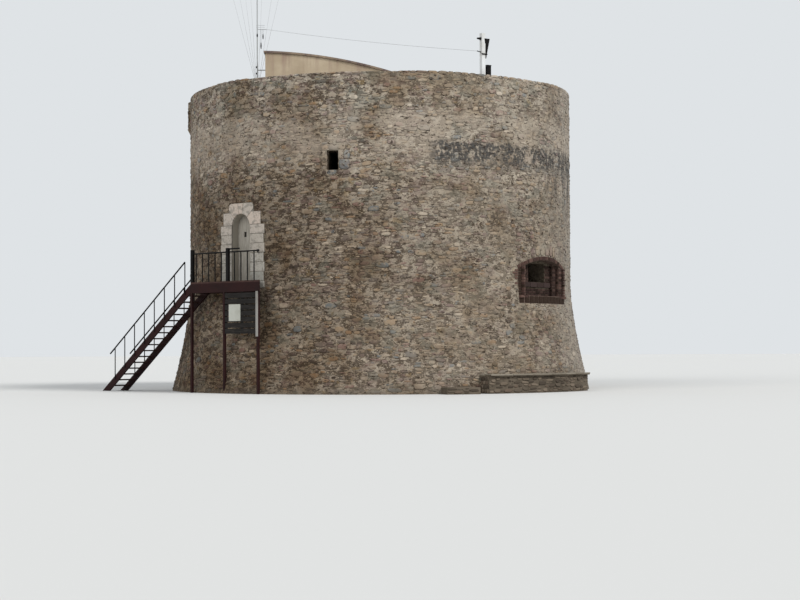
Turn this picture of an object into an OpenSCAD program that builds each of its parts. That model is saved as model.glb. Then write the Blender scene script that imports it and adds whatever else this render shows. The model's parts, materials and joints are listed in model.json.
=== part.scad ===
// Round masonry coast tower with a raised door, gun embrasures, a vaulted gun room and a roof terrace.
// The origin is on the tower's axis at ground level. Azimuth runs from the front (-Y) towards +X.

/* [Drum] */
// Radius of the drum above its flared foot
drum_r = 5980; // [5600:10:6400]
// Extra radius of the foot at the ground
foot_flare = 570; // [300:10:700]
// Height at which the flare of the foot ends
flare_h = 3200; // [2400:50:3600]
// Thickness of the drum wall above the flare
wall_t = 2380; // [2000:10:2700]
// Height of the wall head under the terrace paving
wall_h = 7950; // [7800:10:8400]
// Width of the joint between separately built pieces
bed_gap = 0.3; // [0.2:0.05:0.5]

/* [Parapet] */
// Height of the parapet above the wall head
parapet_h = 1200; // [900:10:1500]
// Thickness of the parapet
parapet_t = 700; // [500:10:900]
// Radius of the worn top arris of the parapet
parapet_arris = 50; // [30:5:120]
// Thickness of the terrace paving
paving_t = 100; // [60:5:140]

/* [Rooms] */
// Thickness of the ground floor slab
ground_floor_t = 150; // [80:10:250]
// Height of the gun room floor surface
gun_floor_z = 3120; // [2900:10:3140]
// Thickness of the gun room floor
gun_floor_t = 500; // [300:10:700]
// Height of the vault's springing above the gun room floor
vault_spring_h = 1480; // [1300:10:1650]
// Radius of the barrel vault
vault_r = 3500; // [3300:10:3590]
// Thickness of the masonry over the vault's crown
vault_cover = 550; // [350:10:650]

/* [Doorway] */
// Azimuth of the doorway
door_az = -43; // [-46:0.5:-41]
// Clear width of the door opening
door_w = 780; // [700:10:860]
// Height of the door threshold
threshold_z = 3250; // [3200:10:3300]
// Height of the crown of the door arch
door_crown_z = 5230; // [5160:10:5280]
// Width of the dressed stone surround
surround_w = 1870; // [1760:10:1980]
// Height of the top of the surround
surround_top_z = 5540; // [5500:10:5620]
// Depth of the surround in the wall at its middle
surround_d = 260; // [220:10:320]
// How far the surround stands proud of the wall
surround_proud = 12; // [5:1:30]
// Width of the passage behind the surround
passage_w = 1220; // [1180:10:1300]
// Height of the passage ceiling
passage_top_z = 5450; // [5430:10:5550]
// Height of one course of the jambs
course_h = 275; // [268:1:282]
// Number of courses of the jambs
jamb_courses = 6; // [5:1:6]
// How much the short jamb blocks stop before the long ones
quoin_step = 30; // [20:5:60]
// How much the shoulder stones stop before the long jamb blocks
shoulder_step = 135; // [80:5:160]
// Height of the shoulder stones beside the arch
shoulder_h = 375; // [350:5:400]
// Width of the crown stones over the arch
crown_w = 1050; // [1000:10:1150]
// Radius of the worn corners of the crown stones
crown_corner_r = 110; // [60:5:140]

/* [Door leaf] */
// Thickness of the door leaf
leaf_t = 60; // [40:2:80]
// Overlap of the leaf behind the surround
leaf_lap = 30; // [20:1:40]
// Running clearance around the leaf
leaf_gap = 5; // [5:0.5:8]
// Radius of the hinge pins
pin_r = 11; // [8:0.5:14]
// Radial clearance of the hinge eyes
pin_clearance = 0.05; // [0.03:0.01:0.1]
// Height of a hinge eye
eye_h = 60; // [50:2:80]
// Distance of the hinge pins from the leaf's edge
pin_offset = 19; // [18:0.5:24]
// Thickness of a hinge eye around its pin
eye_wall = 9; // [6:0.5:12]
// Gap between a hinge eye and the leaf's edge
eye_gap = 3; // [2:0.5:5]
// Length of the strap hinges
strap_len = 640; // [500:10:700]
// Thickness of the strap hinges
strap_t = 8; // [5:1:12]
// Height of the lower hinge above the threshold
hinge_low_h = 350; // [250:10:500]
// Height of the upper hinge above the threshold
hinge_high_h = 1260; // [1200:10:1270]
// Width of the inspection hole
peep_w = 100; // [60:5:140]
// Height of the inspection hole
peep_h = 150; // [100:5:190]
// Height of the middle of the inspection hole above the threshold
peep_rise = 1390; // [1370:10:1450]
// Distance of the inspection hole from the leaf's middle
peep_x = -90; // [-140:10:0]

/* [Windows] */
// Azimuth of the front window
window_az = -13.1; // [-14:0.1:-10]
// Width of the window slit
window_w = 340; // [260:10:400]
// Height of the window sill
window_sill_z = 6360; // [6300:10:6450]
// Height of the window opening
window_h = 560; // [500:10:640]
// Width of the window splay at the room
window_inner_w = 900; // [600:10:1100]
// Depth of the dressed stones round a window
window_stone_d = 260; // [200:10:320]
// Width of the dressed stones round a window
window_stone_w = 150; // [100:10:200]

/* [Embrasures] */
// Azimuth of the front gun embrasure
gun_az = 55; // [53:0.5:57]
// Half width of the outer recess
recess_half_w = 1350; // [1250:10:1400]
// Half width of the recess at its back
recess_back_half_w = 800; // [700:10:900]
// Depth of the outer recess
recess_d = 320; // [280:10:400]
// Height of the crown of the recess arch
recess_crown_z = 3890; // [3860:10:3960]
// Rise of the recess arch
recess_rise = 300; // [260:10:320]
// Depth of the brick arch ring on the face
arch_ring = 110; // [90:5:150]
// Height of the top of the sill
recess_sill_z = 2820; // [2780:10:2900]
// Height of the sill course
sill_h = 230; // [200:10:300]
// Number of steps of a cheek
cheek_steps = 3; // [2:1:5]
// Width of the gun port
port_w = 960; // [860:10:1040]
// Height of the gun port sill
port_sill_z = 3240; // [3200:10:3260]
// Height of the gun port
port_h = 560; // [500:10:580]
// Width of the gun port at the room
port_inner_w = 1500; // [1200:10:1700]
// Depth of the gun port's straight throat
port_throat_d = 500; // [350:10:700]

/* [Landing and stair] */
// Distance from the drum to the landing's front edge at the door
landing_d = 550; // [500:10:800]
// Distance from the door's middle to the landing's left end
landing_left = 1600; // [1500:10:1700]
// Distance from the door's middle to the landing's outer right corner
landing_right = 1400; // [1300:10:1500]
// Distance from the door's middle to where the landing's right side meets the wall
landing_wall_right = 740; // [700:10:850]
// Thickness of the deck
deck_t = 50; // [30:5:60]
// Depth of the landing's edge beams
beam_h = 270; // [180:10:320]
// Thickness of the landing's edge beams
beam_t = 60; // [40:5:80]
// Side of the landing's posts
post_w = 70; // [60:5:75]
// Distance of the right post from the landing's corner
post_inset = 80; // [60:10:150]
// Height of the handrails above the deck
rail_h = 840; // [800:10:900]
// Radius of the handrails
rail_r = 22; // [20:1:26]
// Side of the railing's thick posts
newel_w = 90; // [70:2:100]
// Height of the thick posts above the deck
newel_h = 960; // [940:10:1100]
// Distance of the right thick post from the door's middle
newel_x = 0; // [-100:10:100]
// Length of the short bar beside the right thick post
upper_bar_len = 490; // [300:10:700]
// Depth of the short bar's middle below the top of its post
upper_bar_drop = 30; // [28:1:40]
// Radius of the knob at the handrail's corner
knob_r = 34; // [30:1:44]
// Height of the knob at the handrail's corner
knob_h = 60; // [56:2:80]
// Radius of the balusters
baluster_r = 18; // [14:1:19]
// Pitch of the balusters
baluster_pitch = 278; // [240:2:300]
// Width of the stair
stair_w = 750; // [650:10:850]
// Number of risers of the stair
stair_risers = 18; // [16:1:20]
// Going of one tread
tread_going = 235; // [220:5:260]
// Thickness of a tread
tread_t = 40; // [30:5:50]
// Depth of the stair stringers
stringer_h = 260; // [220:10:320]
// Thickness of the stair stringers
stringer_t = 50; // [40:5:60]
// Side of the bars of the stair's railing
bar_w = 22; // [16:1:30]

/* [Screen] */
// Height of a screen board
board_h = 140; // [110:5:150]
// Pitch of the screen boards
board_pitch = 172; // [165:1:180]
// Thickness of the screen boards
board_t = 25; // [18:1:35]
// Distance of the screen's left edge from the door's middle
screen_left = 100; // [60:10:300]
// Number of boards
board_count = 7; // [5:1:9]
// Width of the battens behind the boards
batten_w = 60; // [40:5:80]
// Thickness of the battens behind the boards
batten_t = 40; // [30:5:60]
// Width of the blank notice
notice_w = 490; // [320:10:520]
// Height of the blank notice
notice_h = 480; // [400:10:520]
// Thickness of the blank notice
notice_t = 10; // [4:1:16]
// Distance of the notice's left edge from the door's middle
notice_x = 85; // [0:5:300]
// Depth of the notice's top below the landing's beams
notice_drop = 360; // [250:10:420]
// Side of the pale strip on the right post
strip_w = 50; // [30:5:65]
// Length of the pale strip below the landing's beams
strip_len = 1290; // [1100:10:1400]

/* [Bench] */
// Distance of the front of the bench seat from the drum above its flare
bench_d = 1020; // [920:10:1220]
// Height of the bench seat
bench_h = 540; // [500:10:580]
// Thickness of the seat slab
seat_t = 60; // [50:5:90]
// Overhang of the seat slab
seat_nosing = 70; // [40:5:100]
// Azimuth of the left end of the bench
bench_from = 26; // [25:1:32]
// Azimuth of the right end of the bench
bench_to = 63; // [58:1:70]
// Distance of the front of the footing step from the drum above its flare
step_d = 1120; // [920:10:1220]
// Height of the footing step
step_h = 190; // [120:10:240]
// Angle taken by the footing step
step_angle = 8; // [5:1:10]
// Angle between the footing step and the bench
step_lead = 3; // [2:1:5]

/* [Stair head] */
// Distance of the stair head's tall end from the parapet
head_inset = 1680; // [1580:10:1880]
// Length of the stair head
head_len = 5750; // [5400:10:6000]
// Width of the stair head
head_w = 1400; // [1200:10:1600]
// Thickness of the stair head's walls
head_wall_t = 230; // [150:10:260]
// Radius of the curve of the stair head's roof
head_roof_r = 14900; // [14000:100:15600]
// Thickness of the stair head's roof slab
head_roof_t = 60; // [50:5:100]
// Overhang of the roof slab
head_eaves = 45; // [20:5:80]
// Height of the top of the roof above the terrace at its tall end
head_h = 2590; // [2500:10:2700]
// How far the top of the roof's curve lies beyond the tall end
head_apex = 420; // [300:10:500]
// Width of the stair head's doorway
head_door_w = 750; // [650:10:850]
// Height of the stair head's doorway
head_door_h = 1950; // [1850:10:2050]

/* [Roof fittings] */
// Height of the aerial mast above the terrace
mast_h = 4850; // [4000:50:5500]
// Radius of the aerial mast
mast_r = 18; // [18:1:25]
// Distance of the mast from the stair head
mast_gap = 300; // [150:10:400]
// Height of the mast's arm above the terrace
arm_h = 3390; // [2900:10:3800]
// Length of the mast's arm
arm_len = 300; // [200:10:500]
// Radius of the mast's arm
arm_r = 10; // [8:1:16]
// Width of the mast's wall brackets
bracket_w = 28; // [20:2:34]
// Height of the mast's wall brackets
bracket_h = 30; // [20:2:50]
// Azimuth of the lamp post
lamp_az = 32; // [30:0.5:36]
// Side of the lamp post
lamp_w = 120; // [80:5:140]
// Height of the lamp post
lamp_h = 1280; // [1100:10:1450]
// Width of the box beside the lamp post
lamp_box_w = 130; // [100:5:180]
// Height of the box beside the lamp post
lamp_box_h = 350; // [250:10:420]
// Distance between the lamp post and its box
lamp_box_gap = 60; // [20:5:100]
// Azimuth of the flank panel
panel_az = -90; // [-92:0.5:-88]
// Width of the flank panel
panel_w = 1000; // [800:10:1400]
// How far the flank panel stands proud
panel_proud = 80; // [60:5:120]
// Height of the flank panel
panel_h = 1080; // [900:10:1100]
// Depth of the flank panel's top below the worn arris
panel_drop = 30; // [20:5:60]

/* [Hidden] */
$fn = 480;

room_r = drum_r - wall_t;
splay_end_y = -0.9 * room_r;
terrace_r = drum_r - parapet_t;
terrace_z = wall_h + paving_t;
parapet_top_z = wall_h + parapet_h;
vault_spring_z = gun_floor_z + vault_spring_h;
vault_crown_z = wall_h - vault_cover;
flare_steps = 6;

// Reach of a cutter that runs past everything, and how far a cutter runs past a face
far = 3 * drum_r;
lap = 1;

// Azimuths at which the drum is divided
door_half_angle = 22.5;
gun_half_angle = 22;
door_sector = [door_az - door_half_angle, door_az + door_half_angle];
gun_sector = [gun_az - gun_half_angle, gun_az + gun_half_angle];
rear_gun_az = 360 + 2 * door_az - gun_az;
rear_sector = [rear_gun_az - gun_half_angle, rear_gun_az + gun_half_angle];
back_window_az = window_az + 180;
side_split_az = (gun_sector[1] + rear_sector[0]) / 2;

springing_z = door_crown_z - door_w / 2;
threshold_h = 200;
surround_back_y = -(drum_r - surround_d);
shoulder_z = threshold_z + jamb_courses * course_h;

leaf_w = door_w + 2 * leaf_lap;
leaf_front_y = surround_back_y + leaf_gap;
leaf_back_y = leaf_front_y + leaf_t;
leaf_bottom_z = threshold_z + leaf_gap;
hinge_x = -(leaf_w / 2 + pin_offset);
hinge_y = leaf_back_y + strap_t / 2;
hinge_zs = [threshold_z + hinge_low_h, threshold_z + hinge_high_h];
eye_r = pin_r + eye_wall;

window_back_y = -(drum_r - window_stone_d);

port_top_z = port_sill_z + port_h;
arch_r = (recess_half_w * recess_half_w + recess_rise * recess_rise) / (2 * recess_rise);
arch_centre_z = recess_crown_z - arch_r;
recess_back_y = -(drum_r - recess_d);

landing_y = -(drum_r + landing_d);
deck_z = threshold_z;
beam_z = deck_z - deck_t - beam_h;
post_xs = [-landing_left, -screen_left - post_w, landing_right - post_w - post_inset];
right_post_x = post_xs[2];
rail_y = landing_y + newel_w / 2;
screen_y = landing_y + notice_t;
notice_top_z = beam_z - notice_drop;
stair_rise = deck_z / stair_risers;
stringer_top_z = deck_z - deck_t;
stair_inner_y = landing_y + stair_w;

head_left = head_inset - terrace_r;
head_right = head_left + head_len;
eaves_left = head_left - head_eaves;
eaves_right = head_right + head_eaves;
head_centre_x = head_left - head_apex;
head_centre_z = terrace_z + head_h - head_roof_r;
head_soffit_r = head_roof_r - head_roof_t;
roof_steps = 24;
mast_x = head_left - mast_gap;

// Radius of the drum's face at height z
function face_r(z) = drum_r + foot_flare * pow(max(0, 1 - z / flare_h), 1.5);

// Points of the drum's face from the ground to the top of the flare, moved out by margin
function face_points(margin = 0) = [
    for (i = [0:flare_steps]) let (z = flare_h * i / flare_steps) [face_r(z) + margin, z]
];

// Section of the drum wall
module wall_section() {
    polygon(concat([[room_r, 0]], face_points(), [[drum_r, wall_h], [room_r, wall_h]]));
}

// A wall section turned from one azimuth to another, with half a joint left at each end
module sector(from, to) {
    trim = asin(bed_gap / 2 / drum_r);
    rotate([0, 0, from + trim - 90])
    rotate_extrude(angle = to - from - 2 * trim)
    children();
}

// Moves what is modelled at the front to an azimuth
module at_azimuth(az) {
    rotate([0, 0, az])
    children();
}

// Extrudes an outline drawn in X and Z from one Y to another
module upright(y_front, y_back) {
    translate([0, y_back, 0])
    rotate([90, 0, 0])
    linear_extrude(y_back - y_front)
    children();
}

// The part of space between two heights and two distances to the side
module zone(x_from, x_to, z_from, z_to) {
    translate([x_from, -far, z_from])
    cube([x_to - x_from, far, z_to - z_from]);
}

// Solid drum with room for a joint, for what is built against its face
module drum_solid() {
    rotate_extrude()
    polygon(concat([[0, 0]], face_points(bed_gap), [[drum_r + bed_gap, wall_h], [0, wall_h]]));
}

// Outline of the crown stones with their worn corners
module crown_outline() {
    crown_h = surround_top_z - shoulder_z;
    translate([-crown_w / 2, shoulder_z])
    square([crown_w, crown_h - crown_corner_r]);
    translate([crown_corner_r - crown_w / 2, shoulder_z])
    square([crown_w - 2 * crown_corner_r, crown_h]);
    for (side = [-1, 1]) {
        translate([side * (crown_w / 2 - crown_corner_r), surround_top_z - crown_corner_r])
        circle(crown_corner_r);
    }
}

// Outline of the dressed surround, with alternating long and short jamb blocks
module surround_outline() {
    for (i = [0:jamb_courses - 1]) {
        block_w = surround_w - (i % 2 == 0 ? 2 * quoin_step : 0);
        translate([-block_w / 2, threshold_z + i * course_h])
        square([block_w, course_h + lap]);
    }
    translate([-surround_w / 2, threshold_z - threshold_h])
    square([surround_w, threshold_h]);
    translate([shoulder_step - surround_w / 2, shoulder_z])
    square([surround_w - 2 * shoulder_step, shoulder_h]);
    crown_outline();
}

// Outline of the arched door opening, wider and higher by margin
module door_outline(margin = 0) {
    translate([0, springing_z])
    circle(door_w / 2 + margin);
    translate([-door_w / 2 - margin, threshold_z])
    square([door_w + 2 * margin, springing_z - threshold_z]);
}

module surround_pocket() {
    upright(-far, surround_back_y)
    surround_outline();
}

module window_outline() {
    translate([-window_w / 2, window_sill_z])
    square([window_w, window_h]);
}

// Outline of the stones round a window, with border as their width
module window_stone_outline(border = window_stone_w) {
    translate([-window_w / 2 - border, window_sill_z - border])
    square([window_w + 2 * border, window_h + 2 * border]);
}

// The splayed window opening through the wall
module window_cut() {
    translate([0, 0, window_sill_z])
    linear_extrude(window_h)
    polygon([
        [-window_w / 2, -far], [window_w / 2, -far],
        [window_w / 2, window_back_y], [window_inner_w / 2, splay_end_y],
        [-window_inner_w / 2, splay_end_y], [-window_w / 2, window_back_y]
    ]);
    upright(-far, window_back_y)
    window_stone_outline();
}

// The space of the recess and of the gun port
module gun_opening() {
    translate([-recess_half_w, -far, -lap])
    cube([2 * recess_half_w, far + recess_back_y, wall_h + 2 * lap]);
    translate([0, 0, -lap])
    linear_extrude(wall_h + 2 * lap)
    polygon([
        [-port_w / 2, recess_back_y - lap], [port_w / 2, recess_back_y - lap],
        [port_w / 2, recess_back_y + port_throat_d], [port_inner_w / 2, splay_end_y],
        [-port_inner_w / 2, splay_end_y], [-port_w / 2, recess_back_y + port_throat_d]
    ]);
}

// Cylinder across the recess, for the arch's inner and outer curve
module recess_barrel(extra) {
    translate([0, 0, arch_centre_z])
    rotate([90, 0, 0])
    cylinder(h = far, r = arch_r + extra);
}

module plain_wall(from, to) {
    color("tan")
    sector(from, to)
    wall_section();
}

module ground_floor() {
    color("dimgray")
    cylinder(h = ground_floor_t, r = room_r - bed_gap);
}

module gun_room_floor() {
    color("gray")
    translate([0, 0, gun_floor_z - gun_floor_t])
    cylinder(h = gun_floor_t, r = room_r - bed_gap);
}

module vault() {
    color("lightgray")
    difference() {
        translate([0, 0, vault_spring_z])
        cylinder(h = wall_h - bed_gap - vault_spring_z, r = room_r - bed_gap);
        at_azimuth(window_az)
        translate([0, far / 2, vault_crown_z - vault_r])
        rotate([90, 0, 0])
        cylinder(h = far, r = vault_r);
    }
}

module terrace_paving() {
    color("darkgray")
    translate([0, 0, wall_h + bed_gap])
    cylinder(h = paving_t - bed_gap, r = terrace_r - bed_gap);
}

module wall_front() {
    color("tan")
    difference() {
        sector(door_sector[1], gun_sector[0])
        wall_section();
        at_azimuth(window_az)
        window_cut();
    }
}

module wall_back() {
    color("tan")
    difference() {
        sector(side_split_az, rear_sector[0])
        wall_section();
        at_azimuth(back_window_az)
        window_cut();
    }
}

module wall_side() {
    plain_wall(gun_sector[1], side_split_az);
}

module wall_west() {
    plain_wall(rear_sector[1], 360 + door_sector[0]);
}

// Masonry on one side of the doorway: side is -1 or 1
module door_flank(side) {
    color("tan")
    at_azimuth(door_az)
    difference() {
        sector(-door_half_angle, door_half_angle)
        wall_section();
        mirror([side > 0 ? 1 : 0, 0, 0])
        zone(-passage_w / 2, far, -lap, wall_h + lap);
        surround_pocket();
    }
}

module wall_door_left() {
    door_flank(-1);
}

module wall_door_right() {
    door_flank(1);
}

// Masonry in line with the doorway, as far as the space in its children
module door_infill() {
    color("tan")
    at_azimuth(door_az)
    intersection() {
        difference() {
            sector(-door_half_angle, door_half_angle)
            wall_section();
            surround_pocket();
        }
        children();
    }
}

module wall_under_door() {
    door_infill()
    zone(-passage_w / 2, passage_w / 2, 0, threshold_z);
}

// Masonry over the passage, and in front down to the shoulder stones of the surround
module wall_over_door() {
    shoulder_top_z = shoulder_z + shoulder_h;
    door_infill()
    union() {
        zone(-passage_w / 2, passage_w / 2, passage_top_z, wall_h);
        translate([-passage_w / 2, -far, shoulder_top_z])
        cube([passage_w, far + surround_back_y, wall_h - shoulder_top_z]);
    }
}

// Masonry on one side of an embrasure: side is -1 or 1
module gun_flank(side) {
    color("tan")
    difference() {
        sector(-gun_half_angle, gun_half_angle)
        wall_section();
        mirror([side > 0 ? 1 : 0, 0, 0])
        zone(0, far, -lap, wall_h + lap);
        gun_opening();
    }
}

// Masonry in line with an embrasure between two heights
module gun_infill(z_from, z_to) {
    intersection() {
        sector(-gun_half_angle, gun_half_angle)
        wall_section();
        zone(-recess_half_w, recess_half_w, z_from, z_to);
        gun_opening();
    }
}

// Everything in front of the back of the recess
module recess_front(z_from) {
    translate([-far / 2, -far, z_from])
    cube([far, far + recess_back_y, wall_h]);
}

// Masonry below an embrasure, up to the port's sill behind and the brick sill in front
module gun_breast() {
    color("tan")
    difference() {
        gun_infill(0, port_sill_z);
        recess_front(recess_sill_z - sill_h);
    }
}

// Masonry above an embrasure, resting on the brick arch in front
module gun_head() {
    color("tan")
    difference() {
        gun_infill(port_top_z - recess_rise, wall_h);
        translate([-port_inner_w, recess_back_y, 0])
        cube([2 * port_inner_w, far, port_top_z]);
        intersection() {
            recess_barrel(arch_ring);
            recess_front(0);
        }
    }
}

module wall_east_left() {
    at_azimuth(gun_az)
    gun_flank(-1);
}

module wall_east_right() {
    at_azimuth(gun_az)
    gun_flank(1);
}

module wall_east_breast() {
    at_azimuth(gun_az)
    gun_breast();
}

module wall_east_head() {
    at_azimuth(gun_az)
    gun_head();
}

module wall_rear_left() {
    at_azimuth(rear_gun_az)
    gun_flank(-1);
}

module wall_rear_right() {
    at_azimuth(rear_gun_az)
    gun_flank(1);
}

module wall_rear_breast() {
    at_azimuth(rear_gun_az)
    gun_breast();
}

module wall_rear_head() {
    at_azimuth(rear_gun_az)
    gun_head();
}

// Section of the parapet with its worn outer arris
module parapet_section() {
    translate([terrace_r, wall_h + bed_gap])
    square([parapet_t, parapet_h - parapet_arris - bed_gap]);
    translate([terrace_r, wall_h + bed_gap])
    square([parapet_t - parapet_arris, parapet_h - bed_gap]);
    translate([drum_r - parapet_arris, parapet_top_z - parapet_arris])
    circle(parapet_arris);
}

module parapet_quarter(middle) {
    color("tan")
    sector(middle - 45, middle + 45)
    parapet_section();
}

module parapet_front() {
    parapet_quarter(0);
}

module parapet_right() {
    parapet_quarter(90);
}

module parapet_back() {
    parapet_quarter(180);
}

module parapet_left() {
    parapet_quarter(-90);
}

module flank_panel() {
    half_angle = asin(panel_w / 2 / drum_r);
    top_z = parapet_top_z - parapet_arris - panel_drop;
    back = drum_r + bed_gap;
    front = drum_r + panel_proud;
    color("tan")
    sector(panel_az - half_angle, panel_az + half_angle)
    polygon([
        [back, top_z - panel_h], [front, top_z - panel_h + 2 * panel_proud],
        [front, top_z - panel_proud / 2], [back, top_z]
    ]);
}

module door_surround() {
    color("gainsboro")
    at_azimuth(door_az)
    intersection() {
        upright(-far, surround_back_y)
        difference() {
            surround_outline();
            door_outline();
        }
        cylinder(h = wall_h, r = drum_r + surround_proud);
    }
}

// Hinge pins on brackets let into the passage wall
module door_pintles() {
    seat_h = 25;
    pin_rise = 10;
    color("dimgray")
    at_azimuth(door_az)
    for (z = hinge_zs) {
        translate([hinge_x, hinge_y, z - eye_h / 2 - bed_gap - seat_h])
        cylinder(h = eye_h + seat_h + pin_rise, r = pin_r);
        translate([-passage_w / 2, hinge_y - eye_r, z - eye_h / 2 - bed_gap - seat_h])
        cube([hinge_x + passage_w / 2, 2 * eye_r, seat_h]);
    }
}

module door_leaf() {
    color("silver")
    at_azimuth(door_az) {
        difference() {
            upright(leaf_front_y, leaf_back_y)
            intersection() {
                door_outline(leaf_lap);
                translate([-far, leaf_bottom_z])
                square([2 * far, far]);
            }
            translate([peep_x - peep_w / 2, leaf_front_y - lap, threshold_z + peep_rise - peep_h / 2])
            cube([peep_w, leaf_t + 2 * lap, peep_h]);
            for (z = hinge_zs) {
                translate([hinge_x, hinge_y, z - eye_h])
                cylinder(h = 2 * eye_h, r = eye_r + eye_gap);
            }
        }
        for (z = hinge_zs) {
            difference() {
                union() {
                    translate([hinge_x, hinge_y, z - eye_h / 2])
                    cylinder(h = eye_h, r = eye_r);
                    translate([hinge_x, leaf_back_y, z - eye_h / 2])
                    cube([strap_len, strap_t, eye_h]);
                }
                translate([hinge_x, hinge_y, z - eye_h])
                cylinder(h = 2 * eye_h, r = pin_r + pin_clearance);
            }
        }
    }
}

module window_stones(az) {
    intersection() {
        at_azimuth(az)
        upright(-far, window_back_y - bed_gap)
        difference() {
            window_stone_outline(window_stone_w - bed_gap);
            window_outline();
        }
        cylinder(h = wall_h, r = drum_r + surround_proud);
    }
}

module window_surrounds() {
    color("lightgray") {
        window_stones(window_az);
        window_stones(back_window_az);
    }
}

// Brick arch ring over a recess
module recess_arch(az) {
    intersection() {
        at_azimuth(az)
        difference() {
            intersection() {
                recess_barrel(arch_ring - bed_gap);
                zone(bed_gap - recess_half_w, recess_half_w - bed_gap, port_top_z - recess_rise, wall_h);
            }
            recess_barrel(0);
            translate([-far / 2, recess_back_y - bed_gap, 0])
            cube([far, far, wall_h]);
        }
        cylinder(h = wall_h, r = drum_r + surround_proud);
    }
}

module embrasure_arches() {
    color("sienna") {
        recess_arch(gun_az);
        recess_arch(rear_gun_az);
    }
}

// Stepped plan of one cheek of a recess
module cheek_plan() {
    step_w = (recess_half_w - recess_back_half_w) / cheek_steps;
    step_d = recess_d / cheek_steps;
    for (i = [0:cheek_steps - 1]) {
        translate([recess_half_w - (i + 1) * step_w, recess_back_y - recess_d + i * step_d])
        square([(i + 1) * step_w - bed_gap, recess_d - i * step_d - bed_gap]);
    }
}

module recess_cheeks(az) {
    intersection() {
        at_azimuth(az)
        intersection() {
            for (side = [0, 1]) {
                mirror([side, 0, 0])
                translate([0, 0, recess_sill_z + bed_gap])
                linear_extrude(wall_h)
                cheek_plan();
            }
            recess_barrel(-bed_gap);
        }
        cylinder(h = wall_h, r = drum_r + surround_proud);
    }
}

module embrasure_cheeks() {
    color("sienna") {
        recess_cheeks(gun_az);
        recess_cheeks(rear_gun_az);
    }
}

module recess_sill(az) {
    intersection() {
        at_azimuth(az)
        translate([bed_gap - recess_half_w, -far, recess_sill_z - sill_h + bed_gap])
        cube([2 * (recess_half_w - bed_gap), far + recess_back_y - bed_gap, sill_h - bed_gap]);
        cylinder(h = wall_h, r = face_r(recess_sill_z) + surround_proud);
    }
}

module embrasure_sills() {
    color("sienna") {
        recess_sill(gun_az);
        recess_sill(rear_gun_az);
    }
}

// Where the landing's slanting right side meets the wall
landing_root = [landing_wall_right, -sqrt(drum_r * drum_r - landing_wall_right * landing_wall_right)];
landing_corner = [landing_right, landing_y];
side_dir = (landing_root - landing_corner) / norm(landing_root - landing_corner);
side_in = [-side_dir[1], side_dir[0]];

// Outer right corner of the landing, set in by margin from both edges
function inset_corner(margin) = [
    landing_right + margin * side_in[0] + side_dir[0] * margin * (1 - side_in[1]) / side_dir[1],
    landing_y + margin
];

// Plan of the landing, set in by margin at its outer edges
module landing_plan(margin = 0) {
    corner = inset_corner(margin);
    root = landing_root + margin * side_in;
    polygon([
        [-landing_left + margin, 0], [-landing_left + margin, landing_y + margin],
        corner, 2 * root - corner, [0, 0]
    ]);
}

// The drum and its proud door surround, for what is built against them
module wall_mass() {
    drum_solid();
    translate([0, 0, threshold_z - threshold_h])
    cylinder(h = wall_h, r = drum_r + surround_proud + bed_gap);
}

module landing_deck() {
    color("dimgray")
    at_azimuth(door_az)
    difference() {
        translate([0, 0, deck_z - deck_t])
        linear_extrude(deck_t)
        landing_plan();
        wall_mass();
    }
}

module landing_frame() {
    color("maroon")
    at_azimuth(door_az)
    difference() {
        translate([0, 0, beam_z])
        linear_extrude(beam_h)
        landing_plan();
        wall_mass();
        translate([0, 0, beam_z - lap])
        linear_extrude(beam_h + 2 * lap)
        difference() {
            landing_plan(beam_t);
            circle(drum_r + beam_t);
        }
    }
    color("dimgray")
    at_azimuth(door_az)
    difference() {
        for (x = post_xs) {
            translate([x, landing_y, 0])
            cube([post_w, post_w, beam_z]);
        }
        drum_solid();
    }
}

// Round bar between two points
module rail_bar(from, to, r) {
    run = to - from;
    length = norm(run);
    translate(from)
    rotate([0, acos(run[2] / length), atan2(run[1], run[0])])
    cylinder(h = length, r = r, $fn = 24);
}

// Thick square post of the railing, standing on the deck
module newel(x) {
    translate([x - newel_w / 2, rail_y - newel_w / 2, deck_z])
    cube([newel_w, newel_w, newel_h]);
}

module baluster(x) {
    rail_bar([x, rail_y, deck_z], [x, rail_y, deck_z + rail_h], baluster_r);
}

// Railing along the front, with a handrail back to the wall at its right end
module landing_railing() {
    left_x = newel_w / 2 - landing_left;
    corner = inset_corner(newel_w / 2);
    root = landing_root + side_in * newel_w / 2;
    rail_end = root + newel_w * side_dir;
    top_z = deck_z + rail_h;
    bar_z = deck_z + newel_h - upper_bar_drop;
    left_count = floor((newel_x - left_x - newel_w) / baluster_pitch);
    right_count = floor((corner[0] - newel_x) / baluster_pitch);
    color("dimgray")
    at_azimuth(door_az) {
        newel(left_x);
        newel(newel_x);
        rail_bar([newel_x, rail_y, bar_z], [newel_x + upper_bar_len, rail_y, bar_z], rail_r);
        rail_bar([left_x, rail_y, top_z], [corner[0], rail_y, top_z], rail_r);
        translate([corner[0], rail_y, top_z - knob_h / 2])
        cylinder(h = knob_h, r = knob_r, $fn = 48);
        for (i = [1:left_count]) {
            baluster(newel_x - i * baluster_pitch);
        }
        for (i = [1:right_count]) {
            baluster(newel_x + i * baluster_pitch);
        }
        difference() {
            rail_bar([corner[0], rail_y, top_z], [rail_end[0], rail_end[1], top_z], rail_r);
            wall_mass();
        }
    }
}

module landing_screen() {
    left = -screen_left;
    right = right_post_x;
    screen_h = board_count * board_pitch;
    color("black")
    at_azimuth(door_az) {
        for (i = [1:board_count]) {
            translate([left, screen_y, beam_z - i * board_pitch])
            cube([right - left, board_t, board_h]);
        }
        for (x = [left, (left + right) / 2, right - batten_w]) {
            translate([x, screen_y + board_t, beam_z - screen_h])
            cube([batten_w, batten_t, screen_h]);
        }
    }
}

module notice_panel() {
    color("white")
    at_azimuth(door_az)
    translate([notice_x, screen_y - notice_t, notice_top_z - notice_h])
    cube([notice_w, notice_t, notice_h]);
}

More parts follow.
